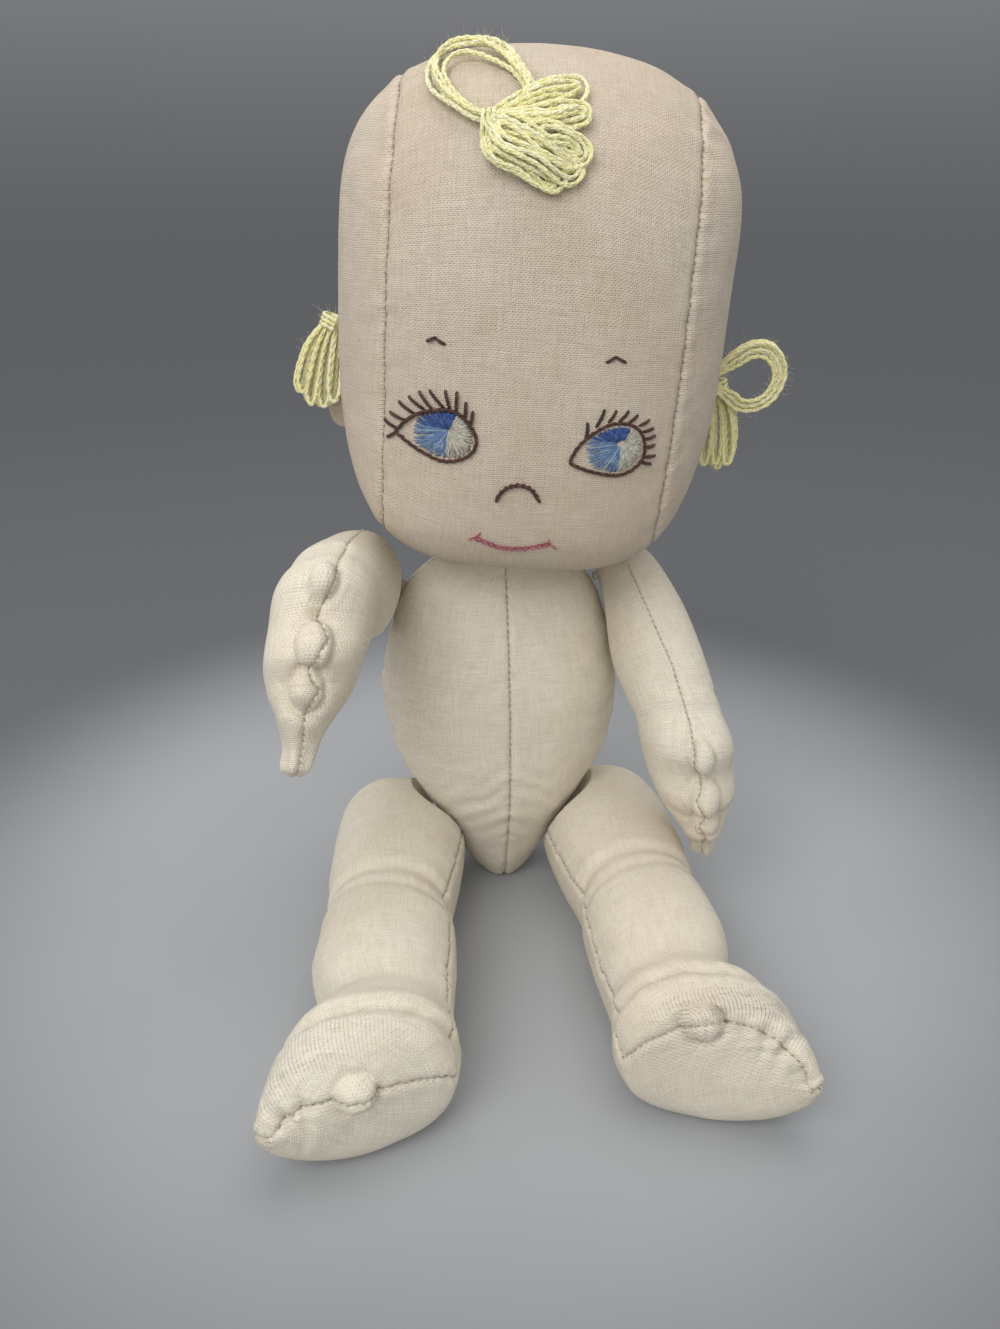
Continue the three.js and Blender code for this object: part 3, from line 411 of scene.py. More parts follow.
def strand_mesh(name, paths, radii, normals, sides, grain_scale=1.0):
    """Closed round strands from paths (n, k, 3), radii (n, k) and directions beside them."""
    paths, radii, normals = np.asarray(paths), np.asarray(radii), np.asarray(normals)
    n, k = paths.shape[:2]
    tangent = unit(np.gradient(paths, axis=1))
    beside = unit(np.cross(tangent, normals))
    over = np.cross(beside, tangent)
    turn = 2 * math.pi * np.arange(sides) / sides
    ring = over[:, :, None] * np.cos(turn)[:, None] + beside[:, :, None] * np.sin(turn)[:, None]
    points = paths[:, :, None] + radii[:, :, None, None] * ring
    base = np.arange(n)[:, None, None] * k * sides
    i = np.arange(k - 1)[None, :, None] * sides
    j = np.arange(sides)[None, None, :]
    after = (j + 1) % sides
    quads = np.stack([base + i + j, base + i + after, base + i + sides + after, base + i + sides + j], -1)
    quads = quads.reshape(-1, 4)
    run = np.concatenate([np.zeros((n, 1)), np.cumsum(np.linalg.norm(np.diff(paths, axis=1), axis=-1), 1)], 1)
    low, high = run[:, :-1, None], run[:, 1:, None]
    strand = np.arange(n)[:, None, None]
    u0 = np.broadcast_to(strand + (j + 0.02) / sides, (n, k - 1, sides))
    u1 = np.broadcast_to(strand + (j + 0.98) / sides, (n, k - 1, sides))
    low = np.broadcast_to(low, u0.shape) * grain_scale
    high = np.broadcast_to(high, u0.shape) * grain_scale
    uv = np.stack([np.stack([u0, low], -1), np.stack([u1, low], -1), np.stack([u1, high], -1),
                   np.stack([u0, high], -1)], axis=-2).reshape(-1, 2)
    ends = np.concatenate([base[:, 0] + j[0, :, ::-1], base[:, 0] + (k - 1) * sides + j[0]], axis=0)
    corners = np.concatenate([quads.ravel(), ends.ravel()])
    counts = np.concatenate([np.full(len(quads), 4), np.full(len(ends), sides)])
    uv = np.concatenate([uv, np.zeros((ends.size, 2))])
    return new_mesh(name, points.reshape(-1, 3), counts, corners, uv)


def twisted(paths, normals, plies, offset, turns):
    """Each path as several plies that wind round it."""
    paths, normals = np.asarray(paths), np.asarray(normals)
    tangent = unit(np.gradient(paths, axis=1))
    beside = unit(np.cross(tangent, normals))
    over = np.cross(beside, tangent)
    k = paths.shape[1]
    made = []
    for ply in range(plies):
        turn = 2 * math.pi * (ply / plies + turns * np.linspace(0, 1, k))[None, :, None]
        made.append(paths + offset * (over * np.cos(turn) + beside * np.sin(turn)))
    return np.concatenate(made), np.concatenate([normals] * plies)


def resampled(points, count, closed=False):
    """A smooth path through points, with even steps."""
    points = np.asarray(points, dtype=float)
    if closed:
        points = np.concatenate([points[-2:], points, points[:3]])
    else:
        points = np.concatenate([[2 * points[0] - points[1]], points, [2 * points[-1] - points[-2]]])
    dense = []
    last = len(points) - 2
    for i in range(1, last):
        t = np.linspace(0, 1, 24, endpoint=False)[:, None]
        a, b, c, d = points[i - 1:i + 3]
        dense.append(0.5 * (2 * b + (c - a) * t + (2 * a - 5 * b + 4 * c - d) * t**2
                            + (3 * b - a - 3 * c + d) * t**3))
    dense.append(points[last][None])
    dense = np.concatenate(dense)
    if closed:
        dense = dense[24:-24]
    run = np.concatenate([[0], np.cumsum(np.linalg.norm(np.diff(dense, axis=0), axis=1))])
    at = np.linspace(0, run[-1], count)
    return np.stack([np.interp(at, run, dense[:, axis]) for axis in range(points.shape[1])], axis=1)


# Materials

def node_material(name):
    material = bpy.data.materials.new(name)
    material.use_nodes = True
    tree = material.node_tree
    tree.nodes.clear()
    output = tree.nodes.new("ShaderNodeOutputMaterial")
    shader = tree.nodes.new("ShaderNodeBsdfPrincipled")
    tree.links.new(shader.outputs[0], output.inputs["Surface"])
    materials[name] = material
    return tree, shader


class Nodes:
    """Short ways to add the nodes that the materials here share."""

    def __init__(self, tree):
        self.tree = tree

    def plug(self, socket, value):
        if isinstance(value, bpy.types.NodeSocket):
            self.tree.links.new(value, socket)
        elif value is not None:
            socket.default_value = value

    def math(self, operation, a, b=None, clamp=False):
        node = self.tree.nodes.new("ShaderNodeMath")
        node.operation = operation
        node.use_clamp = clamp
        self.plug(node.inputs[0], a)
        self.plug(node.inputs[1], b)
        return node.outputs[0]

    def coordinates(self, kind="grain"):
        if kind == "grain":
            node = self.tree.nodes.new("ShaderNodeUVMap")
            node.uv_map = "grain"
            return node.outputs["UV"]
        return self.tree.nodes.new("ShaderNodeTexCoord").outputs["Object"]

    def scaled(self, vector, scale):
        node = self.tree.nodes.new("ShaderNodeMapping")
        node.inputs["Scale"].default_value = scale
        self.plug(node.inputs["Vector"], vector)
        return node.outputs[0]

    def noise(self, vector, scale, detail=2.0, roughness=0.5):
        node = self.tree.nodes.new("ShaderNodeTexNoise")
        self.plug(node.inputs["Vector"], vector)
        node.inputs["Scale"].default_value = scale
        node.inputs["Detail"].default_value = detail
        node.inputs["Roughness"].default_value = roughness
        return node.outputs["Fac"]

    def spots(self, vector, scale):
        node = self.tree.nodes.new("ShaderNodeTexVoronoi")
        self.plug(node.inputs["Vector"], vector)
        node.inputs["Scale"].default_value = scale
        return node.outputs["Distance"], node.outputs["Color"]

    def ramp(self, value, low, high, low_to=0.0, high_to=1.0):
        node = self.tree.nodes.new("ShaderNodeMapRange")
        node.interpolation_type = "SMOOTHSTEP"
        self.plug(node.inputs["Value"], value)
        for socket, number in zip(("From Min", "From Max", "To Min", "To Max"), (low, high, low_to, high_to)):
            node.inputs[socket].default_value = number
        return node.outputs[0]

    def mix(self, share, a, b):
        node = self.tree.nodes.new("ShaderNodeMix")
        node.data_type = "RGBA"
        self.plug(node.inputs["Factor"], share)
        self.plug(node.inputs[6], a)
        self.plug(node.inputs[7], b)
        return node.outputs[2]

    def each_strand(self, u):
        """A chance number for each strand, whose cloth coordinates start at a whole number."""
        node = self.tree.nodes.new("ShaderNodeTexWhiteNoise")
        node.noise_dimensions = "1D"
        self.plug(node.inputs["W"], self.math("FLOOR", u))
        return node.outputs["Value"]

    def bump(self, height, distance, strength, normal=None):
        node = self.tree.nodes.new("ShaderNodeBump")
        node.inputs["Strength"].default_value = strength
        node.inputs["Distance"].default_value = distance
        self.plug(node.inputs["Height"], height)
        if normal is not None:
            self.plug(node.inputs["Normal"], normal)
        return node.outputs[0]

    def part(self, vector, axis):
        node = self.tree.nodes.new("ShaderNodeSeparateXYZ")
        self.plug(node.inputs[0], vector)
        return node.outputs[axis]


def linear(red, green, blue):
    """A colour as it looks on screen, from 0 to 255, as linear light."""
    def channel(value):
        share = value / 255
        return share / 12.92 if share <= 0.04045 else ((share + 0.055) / 1.055) ** 2.4
    return (channel(red), channel(green), channel(blue), 1)


def weave(nodes):
    """The height of a plain weave on the cloth coordinates, and the unevenness of its threads."""
    grain = nodes.coordinates()
    waver = nodes.noise(nodes.scaled(grain, (0.12, 0.12, 1)), 1.0, 1.0)
    waver = nodes.math("MULTIPLY", nodes.math("SUBTRACT", waver, 0.5), 1.6)
    u = nodes.math("ADD", nodes.part(grain, 0), waver)
    v = nodes.math("ADD", nodes.part(grain, 1), waver)
    step = math.pi / WEAVE_PITCH
    over = nodes.math("SINE", nodes.math("MULTIPLY", u, step))
    under = nodes.math("SINE", nodes.math("MULTIPLY", v, step))
    checker = nodes.math("MULTIPLY", over, under)
    threads_up = nodes.math("ABSOLUTE", over)
    threads_across = nodes.math("ABSOLUTE", under)
    height = nodes.math("ADD", nodes.math("MULTIPLY", checker, 0.35), nodes.math("MULTIPLY", threads_up, 0.4))
    height = nodes.math("ADD", height, nodes.math("MULTIPLY", threads_across, 0.5))
    slub_across = nodes.noise(nodes.scaled(grain, (0.1, 2.2, 1)), 1.0, 3.0, 0.7)
    slub_up = nodes.noise(nodes.scaled(grain, (2.2, 0.1, 1)), 1.0, 3.0, 0.7)
    return height, nodes.math("ADD", slub_across, slub_up)


def cloth_material(name, base, shade, warm):
    tree, shader = node_material(name)
    nodes = Nodes(tree)
    height, slubs = weave(nodes)
    place = nodes.coordinates("object")
    broad = nodes.ramp(nodes.noise(place, 22, 3.0, 0.6), 0.35, 0.7)
    colour = nodes.mix(nodes.math("MULTIPLY", broad, 0.55), base, warm)
    thread = nodes.ramp(slubs, 0.75, 1.3, 0.0, 0.55)
    colour = nodes.mix(thread, colour, shade)
    # Painted shade: the gaps between the threads, where the weave is low, turn towards the shade colour
    gaps = nodes.ramp(height, 0.55, 0.05, 0.0, 0.45)
    colour = nodes.mix(gaps, colour, shade)
    distance, chance = nodes.spots(place, 95)
    rare = nodes.math("GREATER_THAN", nodes.part(chance, 0), 0.93)
    fleck = nodes.math("MULTIPLY", nodes.ramp(distance, 0.045, 0.02), rare)
    colour = nodes.mix(nodes.math("MULTIPLY", fleck, 0.65), colour, linear(98, 72, 52))
    tree.links.new(colour, shader.inputs["Base Color"])
    rough = nodes.ramp(slubs, 0.6, 1.4, 0.86, 0.96)
    tree.links.new(rough, shader.inputs["Roughness"])
    shader.inputs["Sheen Weight"].default_value = 0.12
    shader.inputs["Sheen Roughness"].default_value = 0.5
    shader.inputs["Specular IOR Level"].default_value = 0.15
    fine = nodes.bump(height, 0.00024, 0.8)
    coarse = nodes.bump(slubs, 0.00025, 0.6, fine)
    tree.links.new(coarse, shader.inputs["Normal"])


def floss_material(name, base, shade, light):
    tree, shader = node_material(name)
    nodes = Nodes(tree)
    grain = nodes.coordinates()
    u, v = nodes.part(grain, 0), nodes.part(grain, 1)
    lean = nodes.math("ADD", u, nodes.math("MULTIPLY", v, 1.1))
    twist = nodes.math("SINE", nodes.math("MULTIPLY", lean, 12.566))
    place = nodes.coordinates("object")
    mottled = nodes.noise(place, 420, 2.0)
    chance = nodes.each_strand(u)
    colour = nodes.mix(nodes.ramp(chance, 0.45, 0.0, 0.0, 0.75), base, shade)
    colour = nodes.mix(nodes.ramp(chance, 0.6, 1.0, 0.0, 0.8), colour, light)
    # Painted shade in the grooves of the twist, where the bump is low
    colour = nodes.mix(nodes.ramp(twist, -1.0, 0.6, 0.45, 0.0), colour, shade)
    colour = nodes.mix(nodes.ramp(mottled, 0.55, 0.8, 0.0, 0.4), colour, light)
    tree.links.new(colour, shader.inputs["Base Color"])
    tree.links.new(nodes.ramp(mottled, 0.3, 0.7, 0.42, 0.62), shader.inputs["Roughness"])
    shader.inputs["Sheen Weight"].default_value = 0.2
    tree.links.new(nodes.bump(twist, 0.00008, 0.6), shader.inputs["Normal"])


def yarn_material(name, base, shade, light):
    tree, shader = node_material(name)
    nodes = Nodes(tree)
    grain = nodes.coordinates()
    u, v = nodes.part(grain, 0), nodes.part(grain, 1)
    lean = nodes.math("ADD", u, nodes.math("MULTIPLY", v, 0.45))
    fibres = nodes.math("SINE", nodes.math("MULTIPLY", lean, 25.13))
    place = nodes.coordinates("object")
    fuzz = nodes.noise(place, 900, 3.0, 0.7)
    chance = nodes.each_strand(u)
    colour = nodes.mix(nodes.ramp(chance, 0.3, 1.0), base, light)
    # Painted shade: darker where the fuzz noise is low, in the hollows that the same noise makes in the bump
    colour = nodes.mix(nodes.ramp(fuzz, 0.62, 0.35, 0.0, 0.35), colour, shade)
    tree.links.new(colour, shader.inputs["Base Color"])
    tree.links.new(nodes.ramp(fuzz, 0.3, 0.7, 0.85, 1.0), shader.inputs["Roughness"])
    shader.inputs["Sheen Weight"].default_value = 0.45
    shader.inputs["Sheen Roughness"].default_value = 0.6
    shader.inputs["Subsurface Weight"].default_value = 0.12
    shader.inputs["Subsurface Radius"].default_value = (0.002, 0.002, 0.0012)
    total = nodes.math("ADD", nodes.math("MULTIPLY", fibres, 0.5), nodes.math("MULTIPLY", fuzz, 1.6))
    tree.links.new(nodes.bump(total, 0.00025, 0.7), shader.inputs["Normal"])


def stuffing_material():
    tree, shader = node_material("fibre")
    nodes = Nodes(tree)
    place = nodes.coordinates("object")
    tangle = nodes.noise(place, 400, 5.0, 0.7)
    # Painted shade: darker where the tangle is low, in the hollows that the same noise makes in the bump
    colour = nodes.mix(nodes.ramp(tangle, 0.35, 0.7), linear(225, 220, 208), linear(246, 243, 236))
    tree.links.new(colour, shader.inputs["Base Color"])
    tree.links.new(nodes.ramp(tangle, 0.3, 0.7, 0.85, 1.0), shader.inputs["Roughness"])
    tree.links.new(nodes.bump(tangle, 0.0008, 0.8), shader.inputs["Normal"])


def stage_material():
    tree, shader = node_material("stage")
    nodes = Nodes(tree)
    place = nodes.coordinates("object")
    wear = nodes.noise(place, 6, 3.0)
    radius = tree.nodes.new("ShaderNodeVectorMath")
    radius.operation = "LENGTH"
    nodes.plug(radius.inputs[0], place)
    # Painted light: a pool of light on the floor round the doll, light within 0.12 m of it and darker past
    # 0.27 m
    far = nodes.ramp(radius.outputs["Value"], 0.12, 0.27)
    colour = nodes.mix(nodes.ramp(wear, 0.3, 0.7), linear(164, 167, 170), linear(170, 172, 175))
    # Painted light: past the pool the stage turns lighter with height, dark on the floor and light high on
    # the backdrop
    rise = nodes.ramp(nodes.part(place, 2), 0.1, 1.0)
    colour = nodes.mix(far, colour, nodes.mix(rise, linear(106, 108, 111), linear(190, 192, 195)))
    tree.links.new(colour, shader.inputs["Base Color"])
    shader.inputs["Roughness"].default_value = 0.85
    shader.inputs["Specular IOR Level"].default_value = 0.15


cloth_material("muslin", linear(243, 236, 220), linear(208, 195, 170), linear(238, 223, 201))
cloth_material("muslin_head", linear(222, 210, 194), linear(186, 168, 142), linear(213, 191, 168))
floss_material("brown_floss", linear(78, 40, 26), linear(40, 17, 12), linear(116, 66, 46))
floss_material("dark_blue_floss", linear(52, 86, 156), linear(28, 46, 98), linear(104, 142, 200))
floss_material("pale_blue_floss", linear(116, 148, 184), linear(62, 92, 138), linear(190, 206, 216))
floss_material("cream_floss", linear(206, 201, 184), linear(150, 144, 128), linear(240, 238, 226))
floss_material("pink_floss", linear(192, 94, 114), linear(132, 48, 66), linear(228, 156, 170))
floss_material("thread", linear(204, 195, 174), linear(168, 157, 134), linear(224, 216, 198))
yarn_material("yarn", linear(251, 244, 178), linear(236, 224, 146), linear(255, 251, 214))
stuffing_material()
stage_material()


# Head placing

def head_to_doll(points):
    """From the head's own straight place to its turned and tilted one."""
    p = np.asarray(points, dtype=float) + np.array([HEAD_OFFSET, 0, -NECK_CENTRE])
    c, s = math.cos(HEAD_TILT), math.sin(HEAD_TILT)
    x, z = p[..., 0] * c + p[..., 2] * s, -p[..., 0] * s + p[..., 2] * c
    c, s = math.cos(HEAD_TURN), math.sin(HEAD_TURN)
    return np.stack([x * c - p[..., 1] * s, x * s + p[..., 1] * c, z + NECK_CENTRE], axis=-1)


def head_section(x):
    share = np.minimum(1, np.abs(x) / HEAD_HALF_WIDTH)
    depth = share_across(share, DEPTH_SQUARENESS)
    top = HEAD_ABOVE * share_across(share, OUTLINE_SQUARENESS)
    bottom = HEAD_BELOW * share_across(share, JAW_SQUARENESS)
    return HEAD_LEVEL + (top - bottom) / 2, (top + bottom) / 2, HEAD_FRONT * depth, HEAD_BACK * depth


def face_surface(x, level):
    middle, half, front, _ = head_section(x)
    share = (HEAD_LEVEL + level - middle) / half
    depth = np.where(share < 0, share_across(share, CHIN_SQUARENESS), share_across(share, CROWN_SQUARENESS))
    return np.stack([x, -front * depth, HEAD_LEVEL + level], axis=-1)


def on_face(places, lift):
    """Places on the face as points over it and the directions away from it, in the doll's frame."""
    places = np.asarray(places, dtype=float)
    x, level = places[..., 0], places[..., 1]
    small = 0.4
    base = face_surface(x, level)
    along = face_surface(x + small, level) - face_surface(x - small, level)
    upwards = face_surface(x, level + small) - face_surface(x, level - small)
    normal = unit(np.cross(along, upwards))
    point = base + normal * np.asarray(lift)[..., None]
    tip = head_to_doll(point + normal)
    point = head_to_doll(point)
    return point, unit(tip - point)


# Torso

TORSO_KNOTS = np.array(TORSO_ROWS[1:-1]) * np.array([TORSO_HEIGHT, *TORSO_SIZES])


def torso_half_width_at(y, z, margin):
    height = np.clip(z, 0, TORSO_HEIGHT)
    half, front, back = [np.interp(height, TORSO_KNOTS[:, 0], TORSO_KNOTS[:, i]) for i in (1, 2, 3)]
    depth = np.where(y < 0, front, back) + margin
    width = (half + margin) * share_across(y / depth, TORSO_SQUARENESS)
    return np.where(np.abs(z - height) > margin, 0, width)


def reach_beside_torso(points, pivot, swing):
    least = np.zeros(points.shape[:-1])
    for angle in np.radians(np.linspace(swing[0], swing[1], 13)):
        rise = points[..., 2] - pivot
        y = points[..., 1] * math.cos(angle) - rise * math.sin(angle)
        z = pivot + points[..., 1] * math.sin(angle) + rise * math.cos(angle)
        least = np.maximum(least, torso_half_width_at(y, z, JOINT_SPACE))
    return least


def torso_form():
    quarter = 62
    rows = smooth_rows(np.array(TORSO_ROWS) * np.array([TORSO_HEIGHT, *TORSO_SIZES]), 190)
    rings = section_rings(rows[:, 1], rows[:, 2], rows[:, 3], TORSO_SQUARENESS, TORSO_SQUARENESS, quarter)
    along = np.broadcast_to(rows[:, :1], rings.shape[:2])
    form = Form(np.stack([rings[..., 0], -rings[..., 1], along], axis=-1), quarter)
    p = form.points
    run = np.broadcast_to(form.run[:, None], p.shape[:2])
    relief = lumps(p, 11, 0.9) + swelling(form)
    front = form.from_column(quarter)
    seams = ((0, 21, 1.0, 0.4), (quarter, 31, 0.8, 0.3), (2 * quarter, 41, 1.0, 0.4))
    for column, seed, groove, pucker in seams:
        # The middle seam ends under the seat, where the back panel starts
        mask = smoothstep(-p[..., 1], -2, 3) if column == quarter else 1.0
        relief += mask * seam_relief(form.from_column(column), run, seed, groove, pucker)
    # Soft folds that lean down to the middle seam, strongest low on the doll's left
    low = np.exp(-(((p[..., 2] - 42) / 17) ** 2)) * smoothstep(front, -30, -3) * smoothstep(-front, -34, -16)
    folds = np.sin((p[..., 2] + 0.5 * np.abs(front)) / 1.35 + 2.2 * value_noise(p, 9, 51))
    relief += 0.3 * low * folds
    waist = np.exp(-(((p[..., 2] - 74) / 26) ** 2)) * smoothstep(np.abs(front), 14, 34)
    relief += 0.22 * waist * np.sin(p[..., 2] / 1.7 + 2.6 * value_noise(p, 12, 52))
    # Nothing stands out at the top, where the torso meets the head and the arms
    form.push(np.minimum(relief, 3 * smoothstep(p[..., 2], TORSO_HEIGHT - 8, TORSO_HEIGHT - 28) - 0.2))
    form.points[..., 2] = np.clip(form.points[..., 2], 0, TORSO_HEIGHT - 0.1)
    form.measure()
    return form


# Head

def even_shares(count, start, end):
    """Distances from the middle plane to the side, at even steps over the head's curve."""
    turn = np.linspace(0, math.pi / 2, 400)
    c, s = np.cos(turn), np.sin(turn)
    radius = (c**DEPTH_SQUARENESS + s**DEPTH_SQUARENESS) ** (-1 / DEPTH_SQUARENESS)
    x, y = HEAD_HALF_WIDTH * radius * s, HEAD_FRONT * radius * c
    run = np.concatenate([[0], np.cumsum(np.hypot(np.diff(x), np.diff(y)))])
    at = np.linspace(np.interp(start, x, run), np.interp(end, x, run), count)
    return np.interp(at, run, x)


HEAD_QUARTER = 112
SIDE_ROWS = 46
GUSSET_ROWS = 92


def head_form():
    half_gusset = even_shares(GUSSET_ROWS // 2 + 1, 0, GUSSET_HALF_WIDTH)
    widest = HEAD_HALF_WIDTH - 0.02
    side = even_shares(SIDE_ROWS - 4, GUSSET_HALF_WIDTH, widest)[1:]
    # Five last rows close the flat end of each side
    closing = widest + np.array([0.04, 0.07, 0.1, 0.12, 0.13])
    positive = np.concatenate([half_gusset, side, closing])
    x = np.concatenate([-positive[::-1], positive[1:]])
    shrink = np.ones(len(x))
    shrink[-5:] = (0.8, 0.6, 0.4, 0.2, 0.02)
    shrink[:5] = shrink[:-6:-1]
    middle, half, front, back = head_section(np.clip(x, -widest, widest))
    half, front, back = half * shrink, front * shrink, back * shrink
    high = section_rings(half, front, back, CROWN_SQUARENESS, CHIN_SQUARENESS, HEAD_QUARTER)
    points = np.stack([np.broadcast_to(x[:, None], high.shape[:2]), -high[..., 1],
                       high[..., 0] + middle[:, None]], axis=-1)
    form = Form(points, HEAD_QUARTER)
    p = form.points
    across = np.concatenate([[0], np.cumsum(np.hypot(np.diff(x), np.diff(front)))])
    across -= across[len(x) // 2]
    around = form.around[:, :-1]
    relief = lumps(p, 61, 0.8) + swelling(form)
    for seam_row, seed in ((SIDE_ROWS, 71), (SIDE_ROWS + GUSSET_ROWS, 81)):
        distance = np.broadcast_to((across - across[seam_row])[:, None], around.shape)
        run = np.broadcast_to(around[seam_row][None], around.shape)
        relief += seam_relief(distance, run, seed, 0.7, 0.26)
        upper = smoothstep(p[..., 2], HEAD_LEVEL - 20, HEAD_LEVEL + 20)
        outside = smoothstep(distance * (1 if seed == 81 else -1), -1, 2)
        long = np.exp(-np.abs(distance) / 10) * line_noise(run + 0.9 * np.abs(distance), 5.5, seed + 5)
        relief += 0.55 * upper * outside * long
    relief += 0.35 * np.exp(-((p[..., 2] - HEAD_LEVEL + 92) / 9) ** 2) * value_noise(p, 5, 91)
    # Nothing stands out under the chin, where the head meets the torso and the arms
    form.push(np.minimum(relief, 3 * smoothstep(p[..., 2], HEAD_LEVEL - 88, HEAD_LEVEL - 60) - 0.2))
    p = form.points
    away = np.hypot(p[..., 0] + HEAD_OFFSET, p[..., 1])
    room = NECK_RADIUS + NECK_ROOM
    roof = NECK_CENTRE + np.sqrt(np.maximum(0, room**2 - away**2))
    hollow = (away < room - 1.6) & (p[..., 2] < NECK_CENTRE)
    form.points[..., 2] = np.where(hollow, roof, p[..., 2])
    form.points = head_to_doll(form.points)
    form.measure()
    form.across = across
    return form


def head_panel(name, form, first, last):
    points = form.points[first:last + 1]
    normals = form.normals[first:last + 1]
    inner = [points]
    grain_rows = [form.across[first:last + 1]]
    if first > 0:
        inner.insert(0, (points[0] - normals[0] * 1.2)[None])
        grain_rows.insert(0, [form.across[first] - 1.2])
    if last < len(form.points) - 1:
        inner.append((points[-1] - normals[-1] * 1.2)[None])
        grain_rows.append([form.across[last] + 1.2])
    points = np.concatenate(inner)
    across = np.concatenate(grain_rows)
    middle = form.around[len(form.around) // 2]
    grain = np.stack(np.broadcast_arrays(across[:, None], middle[None]), axis=-1)
    if first == 0 or last == len(form.points) - 1:
        grain = np.concatenate([points, points[:, :1]], axis=1)[..., 1:]
    return grid_object(name, points, grain, "muslin_head", wrap=True)


# Limbs

def arm_middle(along, pitch, bend):
    step = along / 24
    y = np.zeros_like(along)
    z = np.zeros_like(along)
    for i in range(24):
        slope = np.radians(pitch + bend * smoothstep((i + 0.5) * step, *BEND_RANGE))
        y = y - step * np.cos(slope)
        z = z - step * np.sin(slope)
    return y, z, np.radians(pitch + bend * smoothstep(along, *BEND_RANGE))


def pushed_out(points, side, least):
    points[..., 0] = side * np.maximum(side * points[..., 0], least)
    return points


def beside_seam(form, row, column, shift=0.0):
    """Distances along a seam, across it and from its place at a row, on a form's own surface there."""
    centre = form.points[row, column]
    normal = form.normals[row, column]
    along = form.points[row + 3, column] - form.points[row - 3, column]
    along = unit(along - normal * (along @ normal))
    across = np.cross(normal, along)
    toward = form.points[row, (column + 4) % form.points.shape[1]] - centre
    if across @ toward < 0:
        across = -across
    away = form.points - centre
    facing = smoothstep(form.normals @ normal, -0.1, 0.4)
    return away @ along, away @ across - shift, facing * smoothstep(np.linalg.norm(away, axis=-1), 22, 14)


def nub(form, row, column, height, length, width, seed, shift):
    """A round bump gathered up on a seam, with the cloth drawn in round it."""
    along, across, near = beside_seam(form, row, column, shift)
    radius = np.hypot(along / length, across / width)
    turn = np.arctan2(across / width, along / length)
    folds = line_noise(turn * 2.4 + 40, 1.0, seed)
    ball = height * np.maximum(0, 1 - radius**2) ** 0.72
    ball += 0.35 * folds * smoothstep(radius, 0.35, 0.9) * (radius < 1)
    ring = -0.6 * np.exp(-(((radius - 1.1) / 0.22) ** 2))
    rays = (0.55 * folds + 0.25) * np.exp(-((radius - 1.1) / 0.75)) * (radius > 1.1)
    return near * (ball + ring + rays * smoothstep(radius, 1.1, 1.35))


def gather(form, row, column, depth, size, seed):
    """A stitched-in dimple with small folds that run away from it."""
    along, across, near = beside_seam(form, row, column)
    radius = np.hypot(along * 1.25, across * 0.8)
    turn = np.arctan2(across, along)
    spokes = line_noise(turn * 2.8 + 40, 1.0, seed)
    dent = -depth * np.exp(-((radius / size) ** 2))
    return near * (dent + 0.5 * spokes * np.exp(-radius / 5) * smoothstep(radius, 0.6, 2.4))


# Finger bumps: place along the arm, height, half length, half width and distance from the seam
ARM_NUBS = ((0.622, 4.8, 5.4, 3.9, 2.8), (0.715, 5, 6.8, 5.0, 3.2), (0.812, 4.2, 5.8, 4.3, 2.6))
# Dimples between the fingers: place along the arm and depth
ARM_GATHERS = ((0.664, 1.9), (0.767, 1.9), (0.862, 1.7))
# Toe bump on the seam: height, half length and half width
TOE_NUB = (4.4, 5.4, 5.0)


def seam_turns(table, shares):
    """How far a limb's seam leans round it, in radians, from a table of places along and turns."""
    places, turns = zip(*table)
    return np.interp(shares, places, turns)


def row_at(share, at):
    """The row of a limb that lies nearest to a place along it."""
    return np.argmin(np.abs(share[:, 0] - at))


